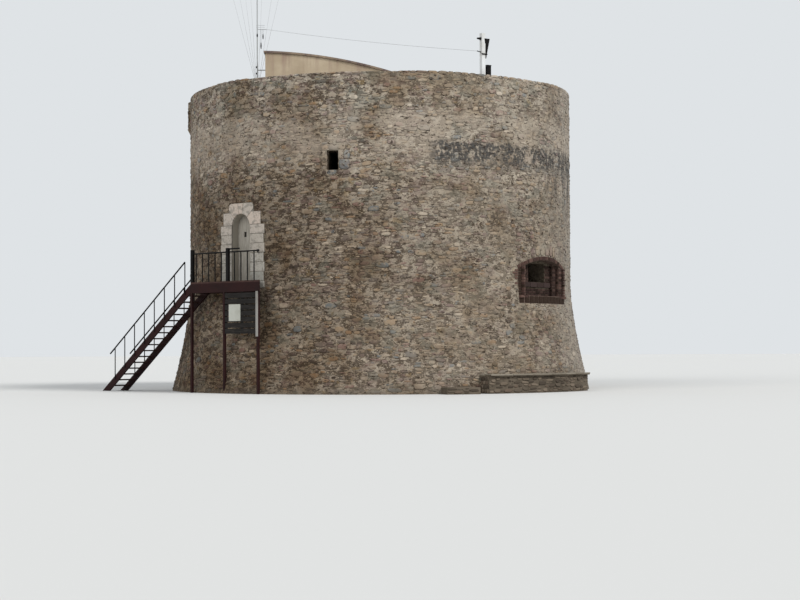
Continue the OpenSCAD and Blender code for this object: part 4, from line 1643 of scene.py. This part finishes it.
@dataclass
class SlitStones:
    """Rough stones round a small window, the ones below it and at its right bluish grey."""

    name: str
    drum: Drum
    shapes: Shapes
    size: Slit
    seed: int
    proud: float = 0.012
    depth: float = 0.05
    joint: float = 0.014
    grey: float = 8.5 / len(RUBBLE_COLOURS)
    ochre: float = 9.5 / len(RUBBLE_COLOURS)

    def rows(self) -> list[tuple[float, float, float, float, float | None]]:
        """Left, foot, right and top of each stone from the middle of the sill, and its tint or None.

        Returns:
            The stones.
        """
        half, border, tall = self.size.width / 2, self.size.border, self.size.height
        left, right = -half - border, half + self.size.right_block
        found = [
            (left, -border, -0.17, 0.0, None), (-0.17, -border, 0.12, 0.0, self.grey),
            (0.12, -border, 0.3, 0.0, None), (0.3, -border, right, 0.0, None),
            (left, tall, -0.12, tall + border, self.ochre),
            (-0.12, tall, 0.16, tall + border, None), (0.16, tall, 0.38, tall + border, self.ochre),
            (0.38, tall, right, tall + border, None), (half, 0.0, right, 0.55 * tall, self.grey),
            (half, 0.55 * tall, half + 0.15, tall, None), (half + 0.15, 0.55 * tall, right, tall, self.grey),
        ]
        for low, high in zip((0.0, 0.22, 0.38, 0.7), (0.22, 0.38, 0.7, 1.0)):
            found.append((left, low * tall, -half, high * tall, None))
        return found

    def build(self, material: Material) -> None:
        """Lays the stones.

        Args:
            material: The stones' material.
        """
        rng, kinds = Random(self.seed), (0, self.shapes.chips_from)
        laying = Laying(self.name, self.shapes, rng)
        for left, low, right, high, tint in self.rows():
            across, height = (left + right) / 2, self.size.sill + (low + high) / 2
            proud, roll = self.proud + rng.uniform(-0.006, 0.0), rng.gauss(0, 0.02)
            size = (right - left - self.joint, self.depth, high - low - self.joint)
            laying.lay_on_face(self.drum, self.size.azimuth, across, height, proud, roll, size, tint, kinds)
        laying.build(material, Slot.RUBBLE)


@dataclass
class UprightStones:
    """Flat stones on edge that stand side by side on the brick arch of an embrasure."""

    name: str
    drum: Drum
    shapes: Shapes
    size: Embrasure
    seed: int
    proud: float = 0.01
    depth: float = 0.05
    joint: float = 0.022
    least_width: float = 0.07
    tints: tuple[float, ...] = tuple(number / len(RUBBLE_COLOURS) for number in (4.5, 12.5, 14.5))

    def build(self, material: Material) -> None:
        """Lays the stones.

        Args:
            material: The stones' material.
        """
        rng, kinds = Random(self.seed), (0, self.shapes.chips_from)
        laying = Laying(self.name, self.shapes, rng)
        ring = self.size.arch_radius + self.size.ring + self.joint / 2
        last = asin(self.size.upright_half_width / ring)
        spot = -last
        while spot < last:
            turn = min(rng.uniform(0.16, 0.32) / ring, last - spot)
            tall = self.size.upright_tall * rng.uniform(0.6, 1.0)
            angle, middle = spot + turn / 2, ring + tall / 2
            spot += turn
            if turn * ring < self.least_width:
                continue
            across, height = middle * sin(angle), self.size.arch_centre + middle * cos(angle)
            proud, roll = self.proud + rng.uniform(-0.008, 0.0), angle + rng.gauss(0, 0.03)
            size, tint = (turn * ring - self.joint, self.depth, tall - self.joint), rng.choice(self.tints)
            laying.lay_on_face(self.drum, self.size.azimuth, across, height, proud, roll, size, tint, kinds)
        laying.build(material, Slot.RUBBLE)


def middles(half: float, count: int) -> list[float]:
    """Gives the middles of that many equal stretches from -half to half."""
    return [-half + (number + 0.5) * 2 * half / count for number in range(count)]


@dataclass
class Brickwork:
    """Single bricks of an embrasure's arch, cheeks and sill."""

    name: str
    drum: Drum
    size: Embrasure
    finishes: Finishes
    seed: int
    brick_height: float = 0.065
    brick_length: float = 0.22
    joint: float = 0.012
    proud: float = 0.012
    sill_block: float = 0.22
    ledge_blocks: int = 4
    least_brick: float = 0.04
    # Tint of the dark sill blocks, and of the left cheek's front bricks as painted shade.
    dark: float = 6.5 / len(BRICK_COLOURS)
    red: float = 7.5 / len(BRICK_COLOURS)
    laying: Laying = field(init=False)

    def on_face(
        self, across: float, height: float, roll: float, size: Floats, tint: float | None = None
    ) -> None:
        """Lays a brick in the drum's face, to the side of the embrasure's middle."""
        proud = self.proud + self.laying.rng.uniform(-0.002, 0.006)
        self.laying.lay_on_face(self.drum, self.size.azimuth, across, height, proud, roll, size, tint)

    def courses(self, low: float, high: float) -> list[tuple[int, float]]:
        """Gives the number and middle height of each course of bricks between two heights."""
        pitch = self.brick_height + self.joint
        return [(number, low + (number + 0.5) * pitch) for number in range(int((high - low) / pitch))]

    def set_in(self, across: float, reach: float, height: float, size: Floats, turn: float = 0.0) -> None:
        """Lays a brick in the embrasure, by its distance to the side and from the drum's axis."""
        place = turned(self.size.azimuth) @ Vector((across, -reach, height))
        self.laying.lay(place, (0.0, 0.0, radians(self.size.azimuth) + turn), size)

    def arch(self) -> None:
        """Lays the arch ring, brick by brick, on edge."""
        radius = self.size.arch_radius
        half = asin(self.size.half_width / radius)
        count = int(2 * half * radius / (self.brick_height + self.joint))
        middle = radius + self.size.ring / 2
        for angle in middles(half, count):
            across = middle * sin(angle)
            height = self.size.arch_centre + middle * cos(angle)
            self.on_face(across, height, angle, (self.brick_height, 0.09, self.size.ring - self.joint))

    def sill(self) -> None:
        """Lays the sill's upright blocks in the face and the paving behind them."""
        count = round(2 * self.size.half_width / self.sill_block)
        pitch = 2 * self.size.half_width / count
        radius = self.drum.face_radius(self.size.sill) + self.proud
        turn = radians(self.size.azimuth)
        for across in middles(self.size.half_width, count):
            out = radius + self.laying.rng.uniform(0.0, 0.008)
            angle = turn + asin(across / out)
            place = self.drum.spot(angle, self.size.sill - self.size.sill_height / 2, out - 0.05)
            size = (pitch - 0.03, 0.1, self.size.sill_height - 0.035)
            self.laying.lay(place, (0.0, self.laying.rng.gauss(0, 0.012), angle), size, self.dark)
            flat = (pitch - 0.016, 0.24, 0.075)
            self.set_in(across, self.drum.radius - 0.17, self.size.sill - 0.03, flat)

    def ledge(self) -> None:
        """Lays the paler stones under the gun port."""
        rng = Random(self.seed + 5)
        shapes = Shapes.square_blocks(4, 0.06, 0.02, rng)
        self.laying = Laying(f"{self.name}_ledge", shapes, rng)
        pitch = 2 * self.size.back_half_width / self.ledge_blocks
        height = self.size.throat_sill - self.size.ledge_height / 2
        for across in middles(self.size.back_half_width, self.ledge_blocks):
            size = (pitch - 0.02, 0.1, self.size.ledge_height - 0.016)
            self.set_in(across, self.drum.radius - self.size.depth - 0.015, height, size)
        self.laying.build(self.finishes.ledge, Slot.RUBBLE)
        shapes.discard()

    def cheeks(self) -> None:
        """Lays the stepped cheeks, course by course, on their fronts and on their sides."""
        step_width = (self.size.half_width - self.size.back_half_width) / self.size.cheek_steps
        step_depth = self.size.depth / self.size.cheek_steps
        for step in range(self.size.cheek_steps):
            inner = self.size.half_width - (step + 1) * step_width
            front = self.drum.radius - step * step_depth
            roof = self.size.arch_centre + sqrt(self.size.arch_radius**2 - inner**2)
            for number, height in self.courses(self.size.sill, roof):
                shift = 0.012 if number % 2 else 0.0
                for side in (-1, 1):
                    across = side * (inner + step_width / 2)
                    size = (step_width - 0.014, 0.075 if step else 0.09, self.brick_height)
                    if step > 0:
                        self.set_in(across, front - 0.03, height, size)
                    else:
                        # The left cheek's front bricks take the dark tint as painted shade.
                        self.on_face(across, height, 0.0, size, self.dark if side < 0 else None)
                    flank, reach = side * (inner + 0.028), front - step_depth / 2 - shift
                    size = (step_depth - 0.02, 0.07, self.brick_height)
                    self.set_in(flank, reach, height, size, -side * pi / 2)

    def throat(self) -> None:
        """Lays the breast and the piers round the gun port at the back of the recess."""
        back = self.drum.radius - self.size.depth
        roof = self.size.throat_sill + self.size.throat_height
        for number, height in self.courses(self.size.sill, roof):
            if self.size.throat_sill - self.size.ledge_height < height < self.size.throat_sill:
                continue
            clear = self.size.throat_half_width if height > self.size.throat_sill else 0.0
            shift = self.brick_length / 2 if number % 2 else 0.0
            spot = -self.size.back_half_width - shift
            while spot < self.size.back_half_width:
                first = max(spot, -self.size.back_half_width)
                last = min(spot + self.brick_length, self.size.back_half_width)
                halves = ((first, min(last, -clear)), (max(first, clear), last))
                for a, b in halves if clear else ((first, last),):
                    if b - a > self.least_brick:
                        size = (b - a - self.joint, 0.08, self.brick_height)
                        self.set_in((a + b) / 2, back - 0.03, height, size)
                spot += self.brick_length

    def teeth(self) -> None:
        """Lays the bricks that tooth into the rubble on both sides, some long, some short and some lost."""
        for _, height in self.courses(self.size.teeth_low, self.size.teeth_high):
            for side in (-1, 1):
                length = self.size.teeth_length * self.laying.rng.choice((0.0, 0.5, 0.55, 0.95))
                if length:
                    across = side * (self.size.half_width + self.joint + length / 2)
                    size = (length - self.joint, 0.08, self.brick_height - self.joint / 2)
                    self.on_face(across, height, self.laying.rng.gauss(0, 0.05), size, self.red)

    def build(self) -> None:
        """Lays the embrasure's bricks as one piece."""
        rng = Random(self.seed)
        shapes = Shapes.square_blocks(8, 0.09, 0.02, rng)
        self.laying = Laying(self.name, shapes, rng)
        self.arch()
        self.sill()
        self.cheeks()
        self.throat()
        self.teeth()
        self.laying.build(self.finishes.bricks, Slot.BRICK)
        shapes.discard()
        self.ledge()


@dataclass
class DoorSurround:
    """Threshold, jambs, shoulders and arch stones of the doorway, pale blocks bent to the drum's face."""

    drum: Drum
    finishes: Finishes
    size: Doorway
    proud: float = 0.012
    thickness: float = 0.05
    joint: float = 0.014
    worn: float = 0.012
    split: float = 0.1
    arch_joints: tuple[float, ...] = (45.0, 80.0, 100.0, 135.0)
    rng: Random = field(default_factory=lambda: Random(51))

    def tint_of(self, bm: BMesh) -> float:
        """Draws a block's place in the palette, which is greyer low down.

        Args:
            bm: The block.

        Returns:
            The place, from 0 to 1.
        """
        middle = sum(v.co.z for v in bm.verts) / len(bm.verts)
        share = (middle - self.size.threshold) / (self.size.top - self.size.threshold)
        return min(0.99, max(0.0, 0.75 * share + self.rng.uniform(0.0, 0.25)))

    def block(self, left: float, low: float, right: float, high: float) -> BMesh:
        """Makes one flat block.

        Args:
            left: Its left edge.
            low: Its foot.
            right: Its right edge.
            high: Its top.

        Returns:
            The block, with its front just before Y 0.
        """
        bm = bmesh.new()
        half = self.joint / 2
        out = self.rng.uniform(0.006, 0.012)
        add_box(bm, (left + half, -out, low + half), (right - half, self.thickness, high - half))
        long_edges = [e for e in bm.edges if abs(e.verts[0].co.x - e.verts[1].co.x) > 0.05]
        bmesh.ops.subdivide_edges(bm, edges=long_edges, cuts=2, use_grid_fill=True)
        return bm

    def worn_front(self, bm: BMesh) -> None:
        """Wears the front edges of a block and dents its face a little.

        Args:
            bm: The block.
        """
        front_y = min(v.co.y for v in bm.verts)
        rim = [
            e for e in bm.edges
            if all(abs(v.co.y - front_y) < 1e-5 for v in e.verts)
            and any(f.normal.y > -0.5 for f in e.link_faces)
        ]
        bevelled(bm, rim, self.worn * self.rng.uniform(0.7, 1.3), 2)
        for vert in bm.verts:
            if vert.co.y < 0:
                vert.co.y += self.rng.uniform(-0.0015, 0.0015)

    def cut_round(self, bm: BMesh, sides: int = 48) -> BMesh:
        """Cuts a block back to the arch of the opening.

        Args:
            bm: The block, which is freed.
            sides: Sides of the full circle.

        Returns:
            The cut block.
        """
        blank = made_of(bm, "blank")
        drill = bmesh.new()
        radius = self.size.opening / 2
        place = Matrix.Translation((0, 0, self.size.springing)) @ Matrix.Rotation(pi / 2, 4, "X")
        bmesh.ops.create_cone(
            drill, cap_ends=True, segments=sides, radius1=radius, radius2=radius, depth=1.0, matrix=place
        )
        cutter = made_of(drill, "cutter")
        cut = blank.modifiers.new("arch", "BOOLEAN")
        cut.operation = "DIFFERENCE"
        cut.object = cutter
        cut.solver = "EXACT"
        result = bmesh.new()
        result.from_mesh(blank.evaluated_get(bpy.context.evaluated_depsgraph_get()).data)
        for spare in (blank, cutter):
            bpy.data.meshes.remove(spare.data)
        return result

    def keep_between(self, bm: BMesh, first: float, last: float) -> None:
        """Cuts a block at the radial joints of the arch, and closes the cuts.

        Args:
            bm: The block.
            first: The lower joint's angle from +X, in degrees.
            last: The upper joint's angle.
        """
        centre = Vector((0, 0, self.size.springing))
        for angle, side in ((radians(first), -1), (radians(last), 1)):
            normal = Vector((-sin(angle), 0, cos(angle))) * side
            cut = bmesh.ops.bisect_plane(
                bm, geom=bm.verts[:] + bm.edges[:] + bm.faces[:], plane_co=centre - normal * self.joint / 2,
                plane_no=normal, clear_outer=True,
            )
            bmesh.ops.contextual_create(bm, geom=[g for g in cut["geom_cut"] if isinstance(g, BMEdge)])

    def jambs(self) -> list[BMesh]:
        """Makes the threshold and the jamb blocks.

        Returns:
            The blocks.
        """
        size = self.size
        half, foot = size.width / 2, size.threshold - size.threshold_height
        ends = ((-half, self.split), (self.split, half))
        blocks = [self.block(left, foot, right, size.threshold) for left, right in ends]
        for number in range(size.courses):
            foot = size.threshold + number * size.course
            reach = size.course_half_width(number)
            for left, right in ((-reach, -size.opening / 2), (size.opening / 2, reach)):
                blocks.append(self.block(left, foot, right, foot + size.course))
        high = size.springing + 0.02
        return [self.cut_round(b) if max(v.co.z for v in b.verts) > high else b for b in blocks]

    def arch(self) -> list[BMesh]:
        """Makes the shoulder stones and the arch stones between their radial joints.

        Returns:
            The blocks.
        """
        size = self.size
        reach, half = size.width / 2 - size.shoulder_step, size.crown_width / 2
        low, mid = size.shoulder, size.shoulder + size.shoulder_height
        blocks = []
        ends = (-20.0, *self.arch_joints, 200.0)
        for first, last in zip(ends, ends[1:]):
            if first < 0.0:
                block = self.block(self.split, low, reach, mid)
            elif last > 180.0:
                block = self.block(-reach, low, -self.split, mid)
            else:
                block = self.block(-half, low, half, size.top)
                corners = [
                    e for e in block.edges
                    if all(v.co.z > size.top - 0.05 and abs(v.co.x) > half - 0.05 for v in e.verts)
                    and abs(e.verts[0].co.y - e.verts[1].co.y) > 0.01
                ]
                bevelled(block, corners, size.crown_corner, 5)
            block = self.cut_round(block)
            self.keep_between(block, first, last)
            blocks.append(block)
        return blocks

    def build(self) -> None:
        """Builds the blocks, gives each its tint and bends them to the face."""
        blocks = self.jambs() + self.arch()
        for block in blocks:
            self.worn_front(block)
        whole = bmesh.new()
        for block in blocks:
            tint, layer = self.tint_of(block), block.verts.layers.float.new(TINT)
            for vert in block.verts:
                vert[layer] = tint
            mesh = mesh_of(block, "block")
            whole.from_mesh(mesh)
            bpy.data.meshes.remove(mesh)
        radius = self.drum.radius + self.proud
        for vert in whole.verts:
            vert.co.y -= sqrt(radius**2 - vert.co.x**2)
        turn_to(whole, self.size.azimuth)
        settle(made_of(whole, "surround_blocks"), self.finishes.blocks, Slot.DRESSED_STONE)


@dataclass
class DoorBoards:
    """Upright boards on the leaf's outer face, and the grille of its inspection hole."""

    doorway: Doorway
    finishes: Finishes
    front: float = 5.715
    clearance: float = 0.002
    board: float = 0.1
    groove: float = 0.005
    thickness: float = 0.004
    hole_x: float = -0.09
    hole_width: float = 0.1
    hole_height: float = 0.15
    hole_rise: float = 1.39
    bar_radius: float = 0.005
    bar_depth: float = 0.03

    @property
    def half(self) -> float:
        """Half of the leaf's width."""
        return self.doorway.opening / 2 - self.clearance

    @property
    def hole(self) -> float:
        """Height of the middle of the inspection hole."""
        return self.doorway.threshold + self.hole_rise

    def add_board(self, bm: BMesh, left: float, right: float, low: float, high: float | None = None) -> None:
        """Adds one board.

        Args:
            bm: The shape that gets it.
            left: Its left edge.
            right: Its right edge.
            low: Its foot.
            high: Its top, or None where it follows the arch.
        """
        gap = self.groove / 2
        verts = add_box(bm, (left + gap, -self.thickness, low), (right - gap, 0.001, high or 10.0))
        for vert in verts if high is None else ():
            if vert.co.z > low + 0.01:
                arch = sqrt(max(0.0, self.half**2 - vert.co.x**2))
                vert.co.z = self.doorway.springing + arch

    def boards(self) -> None:
        """Builds the boards."""
        bm = bmesh.new()
        foot = self.doorway.threshold + 0.01
        edge = self.hole_x - self.hole_width / 2
        while edge > -self.half:
            edge -= self.board
        while edge < self.half:
            left, right = max(edge, -self.half), min(edge + self.board, self.half)
            if abs((edge + self.board / 2) - self.hole_x) < 0.01:
                self.add_board(bm, left, right, foot, self.hole - self.hole_height / 2)
                self.add_board(bm, left, right, self.hole + self.hole_height / 2)
            elif right - left > 0.012:
                self.add_board(bm, left, right, foot)
            edge += self.board
        bevelled(bm, [e for e in bm.edges if all(v.co.y < -self.thickness / 2 for v in e.verts)], 0.0018)
        self.place(bm, "door_boards", Slot.DOOR_PAINT)

    def grille(self) -> None:
        """Builds the bars of the inspection hole."""
        bm = bmesh.new()
        for share in (-0.25, 0.25):
            x, half, y = self.hole_x + share * self.hole_width, self.hole_height / 2, self.bar_depth
            add_rod(bm, (x, y, self.hole - half), (x, y, self.hole + half), self.bar_radius)
        for share in (-0.25, 0.0, 0.25):
            z, half, y = self.hole + share * self.hole_height, self.hole_width / 2, self.bar_depth + 0.008
            add_rod(bm, (self.hole_x - half, y, z), (self.hole_x + half, y, z), self.bar_radius)
        self.place(bm, "door_grille", Slot.IRON)

    def place(self, bm: BMesh, name: str, slot: Slot) -> None:
        """Sets what is modelled on the leaf's front plane in its place, as a piece of that name and slot."""
        turn_to(bm, self.doorway.azimuth, self.front)
        self.finishes.dress(bm, name, slot, Body.DOOR)

    def build(self) -> None:
        """Builds the boards and the grille."""
        self.boards()
        self.grille()


@dataclass
class TerraceFlags:
    """Flagstones of the roof terrace."""

    drum: Drum
    finishes: Finishes
    row: float = 0.46
    joint: float = 0.014
    thickness: float = 0.03
    rise: float = 0.008
    seed: int = 71

    def build(self) -> None:
        """Lays the flags in rows across the terrace, round the stair head."""
        rng = Random(self.seed)
        shapes = Shapes.square_blocks(6, 0.02, 0.008, rng)
        laying = Laying("terrace_flags", shapes, rng)
        head_low, head_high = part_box("stair_head_walls")
        reach = self.drum.terrace_radius - 0.03
        rows = int(2 * reach / self.row)
        for number in range(rows):
            low = -reach + number * 2 * reach / rows
            high = low + 2 * reach / rows
            half = sqrt(max(0.0, reach**2 - max(abs(low), abs(high)) ** 2))
            stretches = [(-half, half)]
            if low < head_high.y and high > head_low.y:
                stretches = [(-half, head_low.x - 0.01), (head_high.x + 0.01, half)]
                if head_low.x - 0.01 <= -half:
                    stretches = stretches[1:]
            for first, last in stretches:
                self.lay_row(laying, first, last, low, high)
        laying.build(self.finishes.slabs, Slot.PAVING)
        shapes.discard()

    def lay_row(self, laying: Laying, first: float, last: float, low: float, high: float) -> None:
        """Lays one stretch of a row.

        Args:
            laying: The piece that gets it.
            first: Its lower X.
            last: Its higher X.
            low: Its lower Y.
            high: Its higher Y.
        """
        spot = first
        while last - spot > 0.12:
            width = laying.rng.uniform(0.35, 0.8)
            if last - spot - width < 0.25:
                width = last - spot if last - spot < 0.95 else (last - spot) / 2
            height = self.drum.terrace + self.rise - self.thickness / 2
            place = Vector((spot + width / 2, (low + high) / 2, height))
            size = (width - self.joint, self.thickness, high - low - self.joint)
            laying.lay(place, (-pi / 2, 0.0, 0.0), size)
            spot += width


@dataclass
class RoofFittings:
    """Thin aerials, the aerial wire and the small fittings of the posts on the roof."""

    drum: Drum
    finishes: Finishes
    lamp_azimuth: float = 32.0
    lamp_radius: float = 5.63
    whip_tips: tuple[tuple[float, float], ...] = (
        (-0.85, 0.1), (-0.6, -0.15), (-0.42, 0.2), (-0.22, -0.1), (0.15, 0.12), (0.52, -0.12), (0.75, 0.1),
    )
    whip_top: float = 12.75
    whip_foot: float = 9.6
    whip_radius: float = 0.0045
    wire_radius: float = 0.004
    wire_sag: float = 0.06
    wire_parts: int = 16
    arm: float = 11.44
    mast_x: float = -3.9

    def whips(self) -> None:
        """Builds the thin rods that fan out from the mast's foot, and the two fine bars over its arm."""
        x, foot = self.mast_x, self.whip_foot
        bm = bmesh.new()
        for across, along in self.whip_tips:
            start, tip = (x + copysign(0.02, across), 0, foot), (x + across, along, self.whip_top)
            add_rod(bm, start, tip, self.whip_radius, 6, self.whip_radius / 2)
        add_rod(bm, (x, 0, foot - 0.04), (x, 0, foot + 0.06), 0.04, 16)
        for height in (self.arm + 0.07, self.arm + 0.13):
            add_rod(bm, (x - 0.03, 0, height), (x + 0.24, 0, height), self.whip_radius, 6)
        self.finishes.dress(bm, "whip_aerials", Slot.MAST_METAL)

    def insulators(self) -> None:
        """Builds the small blobs on the mast and the ones that hang from its arm."""
        bm = bmesh.new()
        for across, low, high, radius in (
            (0.0, 11.17, 11.33, 0.025), (0.184, 11.13, 11.3, 0.02), (0.12, 10.82, 11.02, 0.022),
            (-0.02, 10.2, 10.27, 0.026), (-0.02, 10.0, 10.06, 0.026),
        ):
            x = self.mast_x + across
            middle = (low + high) / 2
            for end, tip in ((low, radius * 0.6), (high, radius * 0.55)):
                add_rod(bm, (x, 0, middle), (x, 0, end), radius, 12, tip)
            if across > 0:
                add_rod(bm, (x, 0, high - 0.01), (x, 0, self.arm), self.wire_radius, 6)
        self.finishes.dress(bm, "mast_insulators", Slot.IRON)

    def wire(self) -> None:
        """Builds the taut wire from the mast's arm to the bracket of the post on the parapet."""
        start = Vector((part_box("aerial_mast")[1].x - 0.01, 0.0, self.arm))
        post = turned(self.lamp_azimuth) @ Vector((-0.18, -self.lamp_radius, 9.9))
        bm = bmesh.new()
        shares = [i / self.wire_parts for i in range(self.wire_parts + 1)]
        route = [start.lerp(post, s) - Vector((0, 0, 4 * self.wire_sag * s * (1 - s))) for s in shares]
        for a, b in zip(route, route[1:]):
            add_rod(bm, a, b, self.wire_radius, 6)
        self.finishes.dress(bm, "aerial_wire", Slot.MAST_METAL)

    def hood(self) -> None:
        """Builds the post's tapered hood, its brackets, the insulator on its left and the box's casing."""
        bm = bmesh.new()
        wedge = add_box(bm, (0.03, -0.07, 9.7), (0.215, 0.07, 10.28))
        for vert in wedge:
            if vert.co.z < 10.0:
                vert.co.x = 0.085 + (vert.co.x - 0.03) * 0.14
                vert.co.y *= 0.45
        top = self.drum.top
        casing = add_box(bm, (0.112, -0.068, top), (0.258, 0.068, top + 0.358))
        lid = add_box(bm, (0.104, -0.076, top + 0.34), (0.266, 0.076, top + 0.366))
        bevelled(bm, {e for vert in wedge + casing + lid for e in vert.link_edges}, 0.006, 2)
        add_rod(bm, (-0.075, -0.07, 9.82), (0.12, -0.07, 9.82), 0.018)
        add_rod(bm, (-0.19, 0, 9.9), (-0.05, 0, 9.88), 0.014)
        add_rod(bm, (-0.19, 0, 10.27), (-0.05, 0, 10.27), 0.02, 14, 0.045)
        turn_to(bm, self.lamp_azimuth, self.lamp_radius)
        self.finishes.dress(bm, "post_hood", Slot.IRON)

    def build(self) -> None:
        """Builds all the fittings."""
        self.whips()
        self.insulators()
        self.wire()
        self.hood()


@dataclass(frozen=True)
class Studio:
    """Plain floor, soft light, pale background and the camera of the photograph."""

    distance: float = 54.6
    eye: float = 1.35
    focal: float = 77.5
    sensor: float = 36.0
    clip_end: float = 1000.0
    yaw: float = -0.639
    pitch: float = 1.533
    roll: float = -0.23
    floor_size: float = 400.0

    def floor(self) -> None:
        """Lays the pale floor just under the tower."""
        bm = bmesh.new()
        bmesh.ops.create_grid(bm, x_segments=1, y_segments=1, size=self.floor_size / 2)
        bmesh.ops.translate(bm, verts=bm.verts, vec=(0, 0, -0.002))
        ground = made_of(bm, "studio_floor")
        ground.data.materials.append(Recipe("studio_floor").finish("d0cfcb", 0.9))

    def world(self) -> None:
        """Lights the scene evenly, and shows a pale background behind it."""
        world = bpy.data.worlds.new("studio")
        world.use_nodes = True
        graph = Graph(world.node_tree)
        light = graph.add("ShaderNodeBackground", {"Color": linear("e6ecf4"), "Strength": 0.7})
        shown = graph.add("ShaderNodeBackground", {"Color": linear("dfe3e6"), "Strength": 1.0})
        path = graph.add("ShaderNodeLightPath").outputs
        seen = graph.math("MAXIMUM", path["Is Camera Ray"], path["Is Glossy Ray"])
        seen = graph.math("MAXIMUM", seen, path["Is Transmission Ray"])
        mix = graph.add("ShaderNodeMixShader", {0: seen, 1: light.outputs[0], 2: shown.outputs[0]})
        graph.add("ShaderNodeOutputWorld", {"Surface": mix.outputs[0]})
        bpy.context.scene.world = world

    def sun(self, name: str, turn: Floats, power: float, spread: float) -> None:
        """Adds a soft sun.

        Args:
            name: Its name.
            turn: Its angles in degrees.
            power: Its strength.
            spread: Its width in degrees.
        """
        lamp = bpy.data.lights.new(name, "SUN")
        lamp.energy = power
        lamp.angle = radians(spread)
        linked(name, lamp).rotation_euler = [radians(a) for a in turn]

    def camera(self) -> None:
        """Sets the camera where the photograph was taken."""
        lens = bpy.data.cameras.new("camera")
        lens.lens, lens.sensor_width, lens.clip_end = self.focal, self.sensor, self.clip_end
        holder = linked("camera", lens)
        aim = Euler((radians(90.0 + self.pitch), 0.0, radians(self.yaw)), "XYZ").to_matrix()
        place = Matrix.Translation((0, -self.distance, self.eye))
        holder.matrix_world = place @ (aim @ turned(self.roll)).to_4x4()
        bpy.context.scene.camera = holder

    def build(self) -> None:
        """Builds the studio."""
        self.floor()
        self.world()
        self.sun("sun_front", (48.0, 0.0, 52.0), 2.25, 20.0)
        self.sun("sun_side", (62.0, 0.0, -40.0), 1.1, 40.0)
        self.camera()
        bpy.context.scene.view_settings.view_transform = "Standard"


def main() -> None:
    """Builds the tower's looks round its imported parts, one sub-assembly after another."""
    logging.basicConfig(level=logging.INFO, format="%(name)s: %(message)s")
    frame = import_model()
    drum = Drum.from_frame()
    doorway = Doorway()
    slits = [Slit(-13.1), Slit(166.9)]
    embrasures = [Embrasure(55.0), Embrasure(219.0)]
    finishes = Finishes.made(doorway.azimuth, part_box("stair_head_roof")[1].z)
    finishes.dress_frame(frame["record"], frame["nodes"])
    Masonry(drum, doorway, slits, embrasures, finishes).build()
    for number, embrasure in enumerate(embrasures, 1):
        Brickwork(f"embrasure_bricks_{number}", drum, embrasure, finishes, 80 + number).build()
    DoorSurround(drum, finishes, doorway).build()
    DoorBoards(doorway, finishes).build()
    TerraceFlags(drum, finishes).build()
    RoofFittings(drum, finishes).build()
    Studio().build()


if __name__ == "__main__":
    main()
